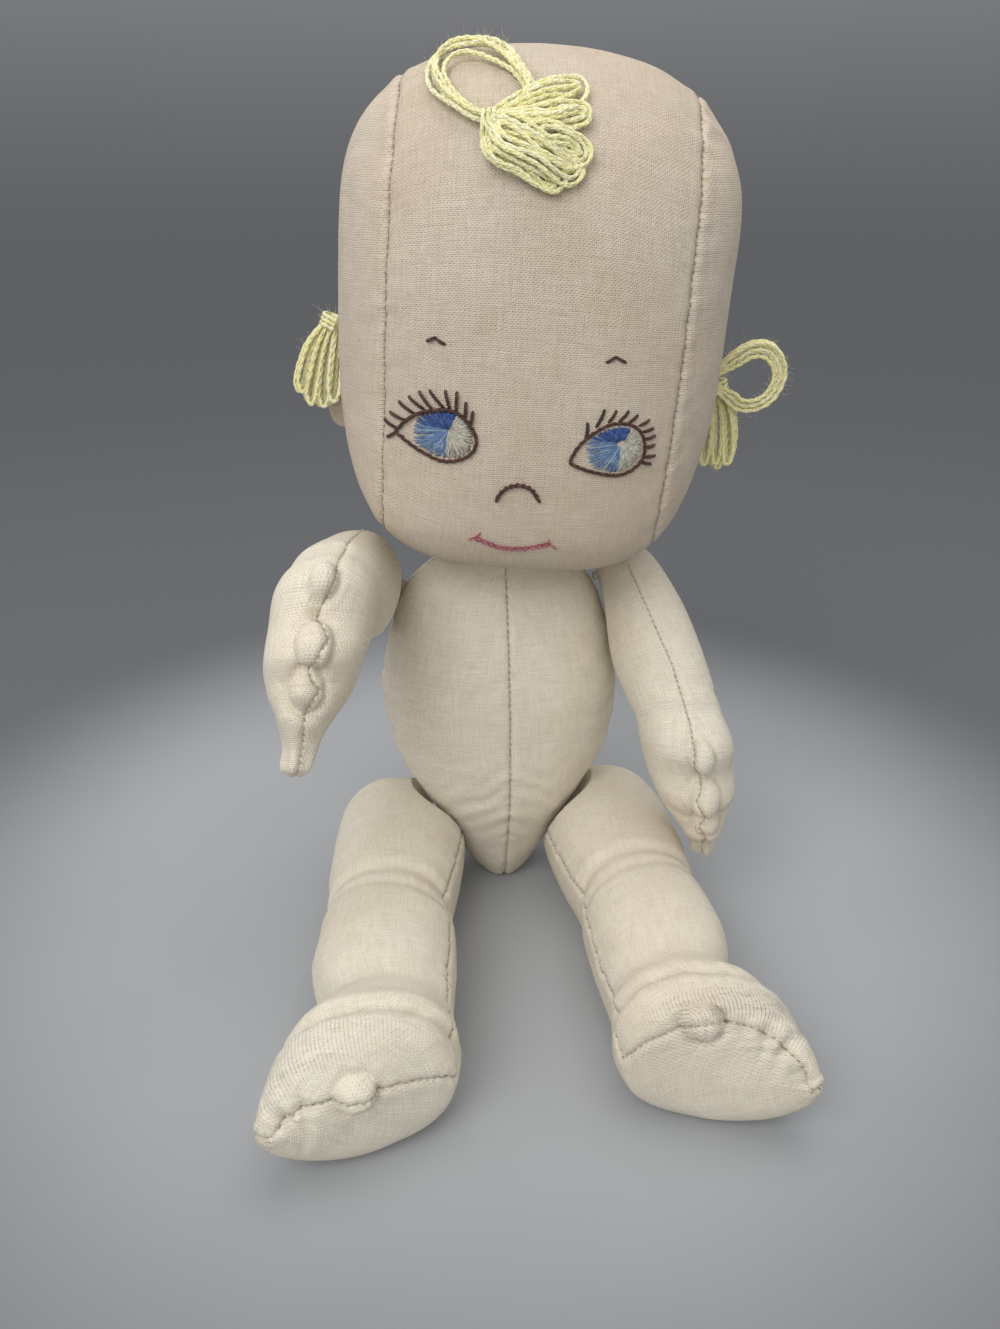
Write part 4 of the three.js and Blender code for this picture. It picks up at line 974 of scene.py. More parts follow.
def arm_form(side, pitch, bend, swing, seed, seam):
    quarter = 32
    lengths = np.array([ARM_LENGTH + ARM_TOP, *ARM_SIZES])
    rows = smooth_rows(np.array(ARM_ROWS) * lengths, 170)
    middle = (rows[:, 1] - rows[:, 2]) / 2
    half = (rows[:, 1] + rows[:, 2]) / 2
    lean = seam_turns(seam, rows[:, 0] / lengths[0])
    rings = section_rings(half, rows[:, 3], rows[:, 4], LIMB_SQUARENESS, LIMB_SQUARENESS, quarter, lean)
    along = np.broadcast_to(rows[:, :1] - ARM_TOP, rings.shape[:2])
    lift = rings[..., 1]
    across = rings[..., 0] + middle[:, None]
    y, z, slope = arm_middle(along, pitch, bend)
    points = np.stack([
        side * (SHOULDER[0] + ARM_LEAN * along + lift),
        y - across * np.sin(slope),
        SHOULDER[1] + z + across * np.cos(slope),
    ], axis=-1)
    depth = np.where(lift > 0, lift + CLOTH + CLEARANCE, 0)
    form = Form(pushed_out(points, side, reach_beside_torso(points, SHOULDER[1], swing) + depth), quarter)
    front = form.from_column(0)
    back = form.from_column(2 * quarter)
    share = (rows[:, 0] / lengths[0])[:, None]
    place = share * lengths[0]
    run = np.broadcast_to(form.run[:, None], front.shape)
    relief = (lumps(form.points, seed, 0.7) + swelling(form)) * smoothstep(share, 0, 0.06)
    relief += seam_relief(front, run, seed + 2, 0.5, 0.3) + seam_relief(back, run, seed + 4, 0.6, 0.3)
    for index, (at, *sizes, shift) in enumerate(ARM_NUBS):
        relief += nub(form, row_at(share, at), 0, *sizes, seed + 20 + index, shift)
    for index, (at, depth) in enumerate(ARM_GATHERS):
        relief += gather(form, row_at(share, at), 0, depth, 2.3, seed + 30 + index)
    tip = smoothstep(share, 0.86, 0.97)
    turn = np.linspace(0, 2 * math.pi, 4 * quarter, endpoint=False)[None]
    relief += 0.55 * tip * np.sin(5 * turn + 1.2 + 0.05 * place) * smoothstep(share, 1.0, 0.97)
    elbow = place - 0.5 * lengths[0] + 3.5 * np.cos(turn)
    relief += crease(elbow, 0.7, 2.2) * smoothstep(np.cos(turn - 0.4), -0.4, 0.7)
    wrinkles = np.sin(place / 1.1 + 3 * value_noise(form.points, 8, seed + 9))
    near_elbow = np.exp(-((place - 0.44 * lengths[0]) / 12) ** 2)
    relief += 0.16 * wrinkles * near_elbow * smoothstep(np.cos(turn), -0.2, 0.8)
    # The upper arm stays lean where it meets the torso, and leaner over its top, under the jaw
    lean_top = smoothstep(np.cos(turn), -0.2, 0.9)
    form.push(np.minimum(relief, 0.2 - lean_top + 6.6 * smoothstep(share, 0.46, 0.6)))
    form.measure()
    return form


def leg_form(side, splay, swing, seed, seam, toe, folds, ankle_at):
    quarter = 44
    lengths = np.array([LEG_LENGTH + LEG_TOP, *LEG_SIZES])
    rows = smooth_rows(np.array(LEG_ROWS) * lengths, 360)
    middle = (rows[:, 1] - rows[:, 2]) / 2
    half = (rows[:, 1] + rows[:, 2]) / 2
    lean = seam_turns(seam, rows[:, 0] / lengths[0])
    rings = section_rings(half, rows[:, 3], rows[:, 4], LIMB_SQUARENESS, LIMB_SQUARENESS, quarter, 0, lean)
    along = np.broadcast_to(rows[:, :1] - LEG_TOP, rings.shape[:2])
    lift = rings[..., 1]
    across = rings[..., 0] + middle[:, None]
    turn = math.radians(splay)
    points = np.stack([
        side * (HIP[0] + along * math.sin(turn) + across * math.cos(turn)),
        across * math.sin(turn) - along * math.cos(turn),
        np.maximum(HIP[1] + lift, 0),
    ], axis=-1)
    least = np.maximum(LEG_INNER_LIMIT, reach_beside_torso(points, HIP[1], swing))
    form = Form(pushed_out(points, side, least), quarter)
    outer = form.from_column(0)
    share = (rows[:, 0] / lengths[0])[:, None]
    place = share * lengths[0]
    run = np.broadcast_to(form.run[:, None], outer.shape)
    angle = np.arctan2(lift, rings[..., 0])
    relief = (lumps(form.points, seed, 0.8) + swelling(form)) * smoothstep(share, 0, 0.05)
    relief += seam_relief(outer, run, seed + 2, 0.6, 0.3)
    relief += seam_relief(*form.from_seam(2 * quarter), seed + 4, 0.7, 0.4)
    top = smoothstep(np.sin(angle), -0.3, 0.5)
    knee = place - 0.455 * lengths[0] + 5 * np.sin(angle)
    relief += crease(knee, 1.0, 2.6) * top
    second = place - 0.5 * lengths[0] + 4 * np.sin(angle) + 2 * np.cos(angle)
    relief += crease(second, 0.35, 1.8) * top
    # The ankle is taken in by a row of stitches over the top
    ankle = place - (ankle_at + 0.018 * np.cos(angle)) * lengths[0] + 1.5 * np.sin(angle)
    relief += crease(ankle, 1.5, 2.4) * top
    tucks = line_noise(form.around[:, :-1] + 0.4 * ankle, 2.6, seed + 12)
    relief += 0.5 * tucks * np.exp(-np.abs(ankle) / 3.4) * top
    relief += nub(form, row_at(share, toe), 2 * quarter, *TOE_NUB, seed + 20, 0)
    for index, at in enumerate(folds):
        row = row_at(share, at)
        along, across, near = beside_seam(form, row, 2 * quarter)
        bow = along - 0.035 * across**2
        relief += near * crease(bow, 1.2, 1.5) * np.exp(-np.abs(across) / 8)
        relief += gather(form, row, 2 * quarter, 1.2, 2.2, seed + 30 + index)
    form.push(relief)
    form.points[..., 2] = np.maximum(form.points[..., 2], 0.02)
    form.measure()
    return form


def dressed(made, node):
    """Hides the solid that a piece stands for and gives the piece back."""
    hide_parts(node)
    return made


def padded_sheet(name, form, girth, material):
    """A small closed form as one piece of cloth, with its grain round and along it."""
    rows, columns = form.points.shape[:2]
    around = np.broadcast_to(np.linspace(0, girth, columns + 1)[None], (rows, columns + 1))
    along = np.broadcast_to(form.run[:, None], around.shape)
    return grid_object(name, form.points, np.stack([around, along], -1), material, wrap=True, thickness=0)


def filling(name, form, inset, node, shrink=1.0, short=0):
    """The stuffing under the cloth of a form: the same form, smaller, and drawn in to the middle of each row.
    It may end a few rows short of the form's tip."""
    rows = form.points[::3, ::3]
    normals = form.normals[::3, ::3]
    if not np.allclose(rows[-1], form.points[-1, ::3]):
        rows = np.concatenate([rows, form.points[-1:, ::3]])
        normals = np.concatenate([normals, form.normals[-1:, ::3]])
    points = rows - normals * inset
    for _ in range(6):
        points = (points + (np.roll(points, 1, axis=1) + np.roll(points, -1, axis=1)) / 2) / 2
        points[1:-1] = (points[1:-1] + (points[:-2] + points[2:]) / 2) / 2
    middle = points.mean(axis=1, keepdims=True)
    away = (points - middle) * shrink
    middle[len(middle) - short:] = middle[-short - 1]
    points = middle + away
    grain = np.zeros((points.shape[0], points.shape[1] + 1, 2))
    made = dressed(grid_object(name, points, grain, "fibre", wrap=True, thickness=0), node)
    return made


def stitches(name, points, normals, every, length, radius, lean=0.35):
    """Short sewing stitches along a seam, each slightly aslant."""
    run = np.concatenate([[0], np.cumsum(np.linalg.norm(np.diff(points, axis=0), axis=1))])
    count = int(run[-1] / every)
    paths, sides = [], []
    for i in range(count):
        centre = (i + 0.5) * every + rng.uniform(-0.12, 0.12) * every
        at = centre + length * np.linspace(-0.5, 0.5, 5)
        path = np.stack([np.interp(at, run, points[:, axis]) for axis in range(3)], axis=1)
        normal = np.stack([np.interp(at, run, normals[:, axis]) for axis in range(3)], axis=1)
        across = unit(np.cross(normal, np.gradient(path, axis=0)))
        arch = np.array([-0.1, 0.3, 0.4, 0.3, -0.1])[:, None]
        path = path + normal * arch + across * (lean * np.linspace(-1, 1, 5))[:, None] * 0.5
        paths.append(path)
        sides.append(unit(normal))
    paths, sides = np.array(paths), np.array(sides)
    radii = np.broadcast_to(radius * np.array([0.6, 1, 1, 1, 0.6]), paths.shape[:2])
    return new_object(name, strand_mesh(name, paths, radii, sides, 5, 3.0), "thread")


def torso_pieces():
    torso = torso_form()
    q = torso.quarter
    torso_filling = filling("torso_filling", torso, 2.0, "torso_stuffing")
    for name, start, end, node in (
        ("torso_cloth_front_left", 0, q, "torso_front_left"),
        ("torso_cloth_front_right", q, 2 * q, "torso_front_right"),
        ("torso_cloth_back", 2 * q, 4 * q, "torso_back"),
    ):
        dressed(panel_object(name, torso, start, end), node).parent = torso_filling
    for side, column, left_off in (("front", q, 12), ("left", 0, 8), ("right", 2 * q, 8)):
        name = f"torso_seam_{side}"
        rows = slice(left_off, -left_off)
        made = stitches(name, torso.points[rows, column], torso.normals[rows, column], 2.3, 1.5, 0.17)
        made.parent = torso_filling
    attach(torso_filling, "torso")


torso_pieces()


def neck_pieces():
    quarter = 20
    rows = []
    foot = math.asin(-NECK_DROP / NECK_RADIUS)
    for angle in np.linspace(foot, math.pi / 2, 44):
        rows.append([NECK_RADIUS * math.sin(angle), max(0.3, NECK_RADIUS * math.cos(angle))])
    rows = np.array([[rows[0][0], 0.3]] + rows)
    turn = np.linspace(0, 2 * math.pi, 4 * quarter, endpoint=False)
    points = np.stack([rows[:, 1:] * np.cos(turn), rows[:, 1:] * np.sin(turn),
                       np.broadcast_to(rows[:, :1] + NECK_CENTRE, (len(rows), 4 * quarter))], axis=-1)
    form = Form(points, quarter)
    gathered = smoothstep(points[..., 2], NECK_CENTRE - 2, NECK_CENTRE - NECK_DROP)
    form.push(0.25 * np.sin(14 * turn)[None] * gathered - 0.25)
    form.measure()
    knob = dressed(padded_sheet("neck_knob", form, 88, "muslin"), "neck")
    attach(knob, "neck")
    radius = math.sqrt(NECK_RADIUS**2 - NECK_DROP**2) + 0.85
    turn = np.linspace(0, 2 * math.pi, 121)
    level = np.full_like(turn, TORSO_HEIGHT + 0.55)
    ring = np.stack([radius * np.cos(turn), radius * np.sin(turn), level], axis=1)
    normals = np.broadcast_to([0.0, 0.0, 1.0], ring.shape)
    sewing = dressed(stitches("neck_sewing", ring, normals, 1.5, 1.4, 0.24), "neck_thread")
    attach(sewing, "torso")


neck_pieces()

head = head_form()
head_filling = filling("head_filling", head, 2.0, "head_stuffing")
last_row = len(head.points) - 1
head_parts = []
for name, first, last, node in (
    ("head_cloth_centre", SIDE_ROWS, SIDE_ROWS + GUSSET_ROWS, "head_centre_panel"),
    ("head_cloth_right", 0, SIDE_ROWS, "head_side_right"),
    ("head_cloth_left", SIDE_ROWS + GUSSET_ROWS, last_row, "head_side_left"),
):
    head_parts.append(dressed(head_panel(name, head, first, last), node))
for name, row in (("head_seam_right", SIDE_ROWS), ("head_seam_left", SIDE_ROWS + GUSSET_ROWS)):
    columns = np.arange(-HEAD_QUARTER + 30, 2 * HEAD_QUARTER - 6) % (4 * HEAD_QUARTER)
    made = stitches(name, head.points[row, columns], head.normals[row, columns], 2.1, 1.35, 0.15, lean=0.2)
    head_parts.append(made)


def reach_at(level):
    if level < 0:
        return HEAD_HALF_WIDTH * share_across(level / HEAD_BELOW, JAW_SQUARENESS)
    return HEAD_HALF_WIDTH * share_across(level / HEAD_ABOVE, OUTLINE_SQUARENESS)


EAR_ROWS = [[0, 0.7, 0.7], [0.25, 0.9, 1], [0.6, 1, 0.9], [0.88, 0.75, 0.6], [1, 0.04, 0.04]]
EAR_REACH = 9.0
EAR_HALF_HEIGHT = 7.5
EAR_HALF_THICKNESS = 2.25
SIDE_TUFT_BEHIND = 2.0
SIDE_TUFT_HALF_WIDTH = 6.5
EAR_BEHIND = SIDE_TUFT_BEHIND + SIDE_TUFT_HALF_WIDTH + EAR_HALF_THICKNESS + CLEARANCE
EAR_LEVEL = -57.0


def ear_piece(name, side, node):
    quarter = 14
    rows = smooth_rows(np.array(EAR_ROWS) * np.array([EAR_REACH, EAR_HALF_HEIGHT, EAR_HALF_THICKNESS]), 40)
    turn = np.linspace(0, 2 * math.pi, 4 * quarter, endpoint=False)
    level = EAR_LEVEL + rows[:, 1:2] * np.cos(turn)
    root = HEAD_HALF_WIDTH * share_across(level / HEAD_BELOW, JAW_SQUARENESS)
    x = root + CLEARANCE + rows[:, :1]
    points = np.stack([side * x, EAR_BEHIND + rows[:, 2:3] * np.sin(turn), HEAD_LEVEL + level], axis=-1)
    form = Form(points, quarter)
    rim = smoothstep(rows[:, :1], EAR_REACH * 0.45, EAR_REACH * 0.8)
    form.push(0.25 * value_noise(points, 3, 17 + int(side)) - 0.3 * (1 - rim) * np.abs(np.sin(turn))[None])
    form.points = head_to_doll(form.points)
    form.measure()
    made = dressed(padded_sheet(name, form, 40, "muslin_head"), node)
    return made


head_parts.append(ear_piece("ear_cloth_left", 1, "ear_left"))
head_parts.append(ear_piece("ear_cloth_right", -1, "ear_right"))

# Embroidery, where places are millimetres across from the middle of the face and up from its widest level

EYES = {
    "right": [
        (-35.8, -52.6), (-33.6, -49.8), (-30.8, -47.4), (-28, -46.1), (-24.8, -45.2), (-21.4, -44.9),
        (-18.8, -45.6), (-16.8, -47.1), (-15.2, -49), (-14.1, -51), (-13.8, -53), (-14.5, -55.2),
        (-16.4, -57), (-19.2, -58.2), (-21.8, -58.6), (-24.4, -58.3), (-27, -57.3), (-29.7, -56.2),
        (-32.4, -54.7), (-34.8, -53.2),
    ],
    "left": [
        (11.7, -56.3), (12, -54.8), (13.3, -52.2), (15.4, -49.7), (18, -47.6), (20.9, -45.9),
        (23.8, -45.3), (26.8, -45.6), (29.2, -46.8), (30.8, -48.8), (31.6, -51.2), (31.7, -53.8),
        (30.8, -56), (28.8, -57.9), (26.2, -59.1), (23.6, -59.4), (20.4, -59), (17.2, -58.4), (14.2, -57.5),
    ],
}
# Each lash from its tip to its root
LASHES = {
    "right": [
        ((-38.4, -54.6), (-35.8, -52.8)), ((-39.3, -49.8), (-35.5, -51.7)), ((-37.8, -47.6), (-33.4, -49.1)),
        ((-35.3, -44.4), (-30.9, -47)), ((-32.6, -42.7), (-28.4, -45.4)), ((-29.8, -41), (-26.1, -45.2)),
        ((-27, -40.4), (-22.9, -44.6)), ((-22.8, -40), (-21.4, -44.6)), ((-19.7, -40), (-19.7, -45)),
        ((-17.2, -42.5), (-17.2, -46.5)), ((-15.2, -44.7), (-15.6, -48)),
    ],
    "left": [
        ((15.3, -45.4), (15.2, -49.6)), ((19.6, -41.5), (17.6, -46.7)), ((22.8, -41.6), (20.7, -45.4)),
        ((26.2, -41.7), (23.5, -45)), ((28.8, -42.8), (26.2, -45.2)), ((32.3, -44.2), (29.2, -46)),
        ((33.8, -46.5), (30.5, -47.6)), ((34.6, -48.6), (31.3, -49.6)), ((34.8, -51.1), (31.7, -51.9)),
        ((35.4, -54.1), (31.9, -54.4)), ((34.4, -56.5), (31.2, -55.8)),
    ],
}
# Each iris as the hub that its stitches run from, and the middle and half sizes of its outline
IRISES = {
    "right": {"hub": (-21.4, -50.2), "middle": (-22.9, -51.9), "half": (8.1, 7.4)},
    "left": {"hub": (25.2, -50.8), "middle": (23.8, -52.4), "half": (8.2, 7.4)},
}
IRIS_SEEDS = {"right": 50, "left": 60}
# Each wedge of an iris as its floss and the angles, in degrees, between which it lies
WEDGES = {
    "cream": ("cream_floss", -92, 63),
    "dark": ("dark_blue_floss", 63, 174),
    "pale": ("pale_blue_floss", 174, 268),
}
BROWS = {
    "right": [(-28.2, -28), (-26, -26.9), (-23.4, -28.4)],
    "left": [(18.5, -29.8), (20.8, -28.3), (23.8, -29.7)],
}
NOSE = [(-7.5, -68.4), (-6.3, -66), (-4.3, -64.2), (-1.3, -63.5), (1.4, -64.1), (3.3, -66), (4.3, -68)]
MOUTH = [(-12.8, -79.9), (-9.4, -81.2), (-5.5, -82.4), (-1.5, -82.7), (3, -82), (8.2, -80.4)]
FLICKS = [
    [(-14.6, -81), (-12.6, -79.8)], [(-11, -78.3), (-12.6, -79.8)], [(8.2, -78.9), (8.4, -80.4)],
    [(10.9, -82), (8.4, -80.4)],
]
STROKE_SIDES = 5


def floss_strokes(name, strokes, radius, material, plies=3, lift=0.25, turns=1.4, steps=9):
    """Stitches of twisted floss on the face. Each is a list of places that it runs through."""
    paths, normals, radii = [], [], []
    bow = np.sin(math.pi * np.linspace(0, 1, steps))
    for stroke in strokes:
        places = resampled(stroke, steps)
        arch = lift + radius * 0.9 * bow**0.5 - 0.35 * (1 - bow**0.4)
        point, normal = on_face(places, arch)
        paths.append(point)
        normals.append(normal)
        radii.append(radius * (0.72 + 0.28 * bow))
    paths, normals, radii = np.array(paths), np.array(normals), np.array(radii)
    wound, wound_normals = twisted(paths, normals, plies, radius * 0.5, turns)
    mesh = strand_mesh(name, wound, np.concatenate([radii * 0.56] * plies), wound_normals, STROKE_SIDES, 1.0)
    return new_object(name, mesh, material)


def back_stitched(places, every, overlap=0.25, closed=True, sway=0.12):
    """A line as stitches that each start just before the last one ends."""
    dense = resampled(places, 300, closed)
    run = np.concatenate([[0], np.cumsum(np.linalg.norm(np.diff(dense, axis=0), axis=1))])
    count = max(1, round(run[-1] / every))
    step = run[-1] / count
    made = []
    for i in range(count):
        at = np.linspace(i * step - overlap * step, (i + 1) * step, 4)
        at = at % run[-1] if closed else np.clip(at, 0, run[-1])
        places_at = np.stack([np.interp(at, run, dense[:, axis]) for axis in range(2)], axis=1)
        direction = unit(places_at[-1] - places_at[0])
        beside = np.array([-direction[1], direction[0]])
        places_at = places_at + beside * np.linspace(-sway, sway, 4)[:, None]
        made.append(places_at)
    return made


def inside_outline(outline, hub, angle, inset):
    """How far a ray from a hub runs before it meets an outline."""
    direction = np.array([math.cos(angle), math.sin(angle)])
    best = 99.0
    closed = np.array(outline + outline[:1])
    for a, b in zip(closed[:-1], closed[1:]):
        edge = b - a
        cross = direction[0] * edge[1] - direction[1] * edge[0]
        if abs(cross) < 1e-9:
            continue
        offset = a - np.array(hub)
        far = (offset[0] * edge[1] - offset[1] * edge[0]) / cross
        share = (offset[0] * direction[1] - offset[1] * direction[0]) / cross
        if far > 0 and -1e-6 <= share <= 1 + 1e-6:
            best = min(best, far)
    return best - inset


def iris_reach(iris, outline, angle):
    hub = np.array(iris["hub"])
    direction = np.array([math.cos(angle), math.sin(angle)])
    offset = (hub - np.array(iris["middle"])) / np.array(iris["half"])
    slope = direction / np.array(iris["half"])
    a, b, c = slope @ slope, 2 * offset @ slope, offset @ offset - 1
    ellipse = (-b + math.sqrt(b * b - 4 * a * c)) / (2 * a)
    return min(ellipse, inside_outline(outline, iris["hub"], angle, 0.55))


def iris_piece(name, iris, outline, start, end, material, node, seed):
    """Satin stitches that run from the hub of an iris to its edge."""
    draw = random.Random(seed)
    hub = np.array(iris["hub"])
    count = int((end - start) / 4.2)
    strokes = []
    for i in range(count):
        angle = math.radians(start + (end - start) * (i + 0.5) / count + draw.uniform(-1.2, 1.2))
        far = iris_reach(iris, outline, angle) + draw.uniform(-0.25, 0.2)
        near = (0.35, 1.6, 0.8)[i % 3] + draw.uniform(-0.15, 0.25)
        tip = angle + draw.uniform(-0.03, 0.03)
        a = hub + near * np.array([math.cos(angle), math.sin(angle)])
        b = hub + far * np.array([math.cos(tip), math.sin(tip)])
        strokes.append([a, (a + b) / 2, b])
    made = floss_strokes(name, strokes, 0.36, material, plies=2, lift=0.2, turns=2.2, steps=8)
    return dressed(made, node)


def brown_stitches(name, strokes, radius, node, turns=1.4):
    made = floss_strokes(name, strokes, radius, "brown_floss", turns=turns)
    return dressed(made, node)


for side, outline in EYES.items():
    strokes = back_stitched(outline, 2.1)
    for tip, base in LASHES[side]:
        strokes.append([tip, ((tip[0] + base[0]) / 2 + 0.1, (tip[1] + base[1]) / 2), base])
    head_parts.append(brown_stitches(f"eye_line_{side}", strokes, 0.52, f"eye_outline_{side}", 1.6))
    for index, (wedge, (material, start, end)) in enumerate(WEDGES.items()):
        made = iris_piece(f"iris_{wedge}_stitches_{side}", IRISES[side], outline, start, end, material,
                          f"iris_{wedge}_{side}", IRIS_SEEDS[side] + index)
        head_parts.append(made)
    brow = BROWS[side]
    head_parts.append(brown_stitches(f"brow_stitches_{side}", [brow[:2], brow[1:]], 0.48, f"brow_{side}"))
nose = back_stitched(NOSE, 1.7, overlap=0.45, closed=False, sway=0.28)
head_parts.append(brown_stitches("nose_stitches", nose, 0.5, "nose_stitch"))


def chain_links(places, count):
    """A chain stitch: drop-shaped loops, each starting inside the one before."""
    dense = resampled(places, count + 1)
    links = []
    for a, b in zip(dense[:-1], dense[1:]):
        direction = unit(b - a)
        beside = np.array([-direction[1], direction[0]]) * 0.52
        far = b + direction * 0.35
        links.append([a, a * 0.55 + b * 0.45 + beside, b + beside * 0.75, far])
        links.append([a, a * 0.55 + b * 0.45 - beside, b - beside * 0.75, far])
    return links


mouth = floss_strokes("mouth_stitches", chain_links(MOUTH, 11) + FLICKS, 0.3, "pink_floss", plies=2)
head_parts.append(dressed(mouth, "mouth_stitch"))


# Yarn hair

def yarn_object(name, paths, normals, node, seed, strays=500):
    """Plied yarn along paths in the doll's frame, with a halo of curly fibres that stand off it."""
    draw = np.random.default_rng(seed)
    paths, normals = np.array(paths), np.array(normals)
    length = np.linalg.norm(np.diff(paths, axis=1), axis=-1).sum(axis=1).mean()
    wound, wound_normals = twisted(paths, normals, 2, YARN_RADIUS * 0.3, length / 6)
    steps = wound.shape[1]
    swell = 1 + 0.07 * line_noise(np.linspace(0, length, steps), 3.5, seed)[None]
    radii = YARN_RADIUS * 0.72 * swell * draw.uniform(0.9, 1.06, (len(wound), 1))
    mesh = strand_mesh(name, wound, radii, wound_normals, 8, 0.35)
    made = dressed(new_object(name, mesh, "yarn"), node)
    fibres, sides = [], []
    share = np.linspace(0, 1, 8)[:, None]
    for _ in range(strays):
        strand = draw.integers(len(paths))
        start = draw.integers(2, steps - 3)
        base = paths[strand, start]
        along = unit(paths[strand, start + 1] - paths[strand, start - 1])
        away = unit(np.cross(along, draw.normal(size=3)))
        far = draw.uniform(0.7, 3.2)
        bend = unit(draw.normal(size=3)) * far * 0.55
        wave = np.sin(share * draw.uniform(3, 8) + draw.uniform(0, 6))
        curl = wave * unit(draw.normal(size=3)) * far * 0.16
        way = away * (YARN_RADIUS * 0.5 + far * share) + along * far * draw.uniform(-0.9, 0.9) * share
        fibres.append(base + way + bend * share**2 + curl * share)
        sides.append(np.broadcast_to(unit(np.cross(along, away) + 0.01), (8, 3)))
    fibre_radii = np.broadcast_to(0.048 * np.linspace(1, 0.5, 8), (strays, 8))
    fuzz = strand_mesh(f"{name}_fuzz", fibres, fibre_radii, sides, 3)
    stray = new_object(f"{name}_fuzz", fuzz, "yarn")
    stray.parent = made
    return made


TOP_RING = [
    (-15.5, 23.2), (-20.2, 24.3), (-25.0, 27.0), (-28.4, 30.7), (-29.5, 33.6), (-28.9, 36.8), (-26.3, 39.1),
    (-22.2, 40.0), (-17.3, 39.7), (-13.1, 38.3), (-9.9, 35.9), (-7.5, 33.2), (-6.1, 30.5), (-7.6, 27.5),
]
# The skein's turns to and fro from the tie, each as places with a lift over the cloth
TOP_SKEIN = [
    [(-15.0, 23.5, 1.2), (-8.1, 27.1, 2.6), (-0.9, 29.9, 3.0), (4.4, 32.0, 1.8), (6.2, 31.2, 1.6),
     (4.6, 29.6, 1.6), (-1.9, 26.0, 2.2), (-9.1, 22.5, 2.0), (-14.0, 20.5, 1.0)],
    [(-14.4, 22.5, 2.6), (-7.8, 22.6, 4.2), (0.6, 24.8, 4.4), (6.4, 26.4, 2.6), (8.0, 25.2, 2.2),
     (6.4, 23.6, 2.0), (-1.6, 21.5, 2.6), (-10.0, 19.4, 2.2), (-15.2, 18.2, 1.2)],
    [(-14.8, 20.0, 3.2), (-7.6, 19.0, 4.8), (1.0, 19.4, 5.0), (6.2, 18.5, 3.0), (7.9, 17.1, 2.4),
     (6.4, 15.6, 2.0), (-0.1, 16.3, 2.4), (-7.4, 16.0, 2.2), (-13.4, 15.6, 1.4)],
    [(-15.3, 18.0, 3.6), (-14.6, 15.6, 4.4), (-11.6, 13.8, 4.4), (-7.1, 12.2, 4.2), (-2.0, 10.2, 3.2),
     (0.8, 9.6, 2.2), (2.4, 11.2, 2.0), (0.8, 12.8, 2.2), (-5.4, 14.2, 3.4), (-12.6, 17.4, 2.4)],
    [(-14.9, 21.2, 4.2), (-11.6, 17.0, 6.0), (-6.4, 15.0, 6.2), (0.2, 13.2, 4.2), (4.6, 12.2, 2.4),
     (6.4, 13.6, 2.0), (4.8, 14.8, 2.4), (-2.4, 17.6, 5.4), (-9.8, 20.8, 5.6), (-14.6, 22.4, 3.6)],
]
# Places on the path of each yarn strand
YARN_STEPS = 170
SIDE_YARN_STEPS = 150


def bundle(places, offsets):
    """Strands that run side by side over the head: each is set off sideways and up from the same places."""
    paths, normals = [], []
    dense = resampled(places, YARN_STEPS)
    flat = dense[:, :2]
    direction = unit(np.gradient(flat, axis=0))
    beside = np.stack([-direction[:, 1], direction[:, 0]], axis=1)
    run = np.linspace(0, 1, YARN_STEPS)
    free = np.sin(math.pi * run) ** 0.5
    for index, (sideways, up) in enumerate(offsets):
        chance = 300 + index + int(abs(places[2][1]) * 10)
        sway = 0.95 * line_noise(run * 7, 1.0, chance)
        spread = (sideways * (0.4 + 0.6 * free) + sway * free)[:, None]
        lift = dense[:, 2] + up + 0.6 * free * line_noise(run * 6 + 3, 1.0, chance + 50)
        point, normal = on_face(flat + beside * spread, lift)
        paths.append(point)
        normals.append(normal)
    return paths, normals


def top_ring():
    places = [(x, y, 1.5 + 0.5 * math.sin(index)) for index, (x, y) in enumerate(TOP_RING)]
    return bundle(places, ((-1.8, 0), (-0.6, 0.35), (0.6, 0.1), (1.8, 0.4), (0, 1.3)))


def top_bunch():
    paths, normals = [], []
    for turn in TOP_SKEIN:
        made = bundle(turn, ((-1.7, 0), (-0.55, 0.4), (0.6, 0.1), (1.7, 0.3)))
        paths += made[0]
        normals += made[1]
    return paths, normals


def tie_object(name, centre, along, across, away, half, height, node):
    """A wrap of yarn that holds a tuft to the cloth."""
    paths, normals = [], []
    turn = np.linspace(math.pi, 0, 60)
    arch = centre + np.outer(np.cos(turn) * half, across) + np.outer(np.sin(turn) * height, away)
    for shift in (-1.3, 0, 1.3):
        ring = arch + along * shift
        paths.append(ring)
        normals.append(np.broadcast_to(along, ring.shape))
    return yarn_object(name, paths, normals, node, 77, strays=60)


points, normals = top_ring()
head_parts.append(yarn_object("yarn_top_ring", points, normals, "hair_top_ring", 31))
points, normals = top_bunch()
head_parts.append(yarn_object("yarn_top_bunch", points, normals, "hair_top_bunch", 32, strays=900))
centre, away = on_face(np.array([-15.2, 21.6]), 0.6)
side_point, _ = on_face(np.array([-15.2, 26.6]), 0.6)
across = unit(side_point - centre)
head_parts.append(tie_object("yarn_top_tie", centre, unit(np.cross(across, away)), across, away, 4.6, 3.6,
                             "hair_top_tie"))


# A hanging loop of yarn, as shares of its length down and of its half width out
LOOP = (
    (0, 0.2), (0.12, 0.5), (0.4, 1), (0.8, 1.15), (0.96, 0.7), (1.0, 0), (0.96, -0.7), (0.8, -1.15),
    (0.4, -1), (0.12, -0.5), (0, -0.2),
)
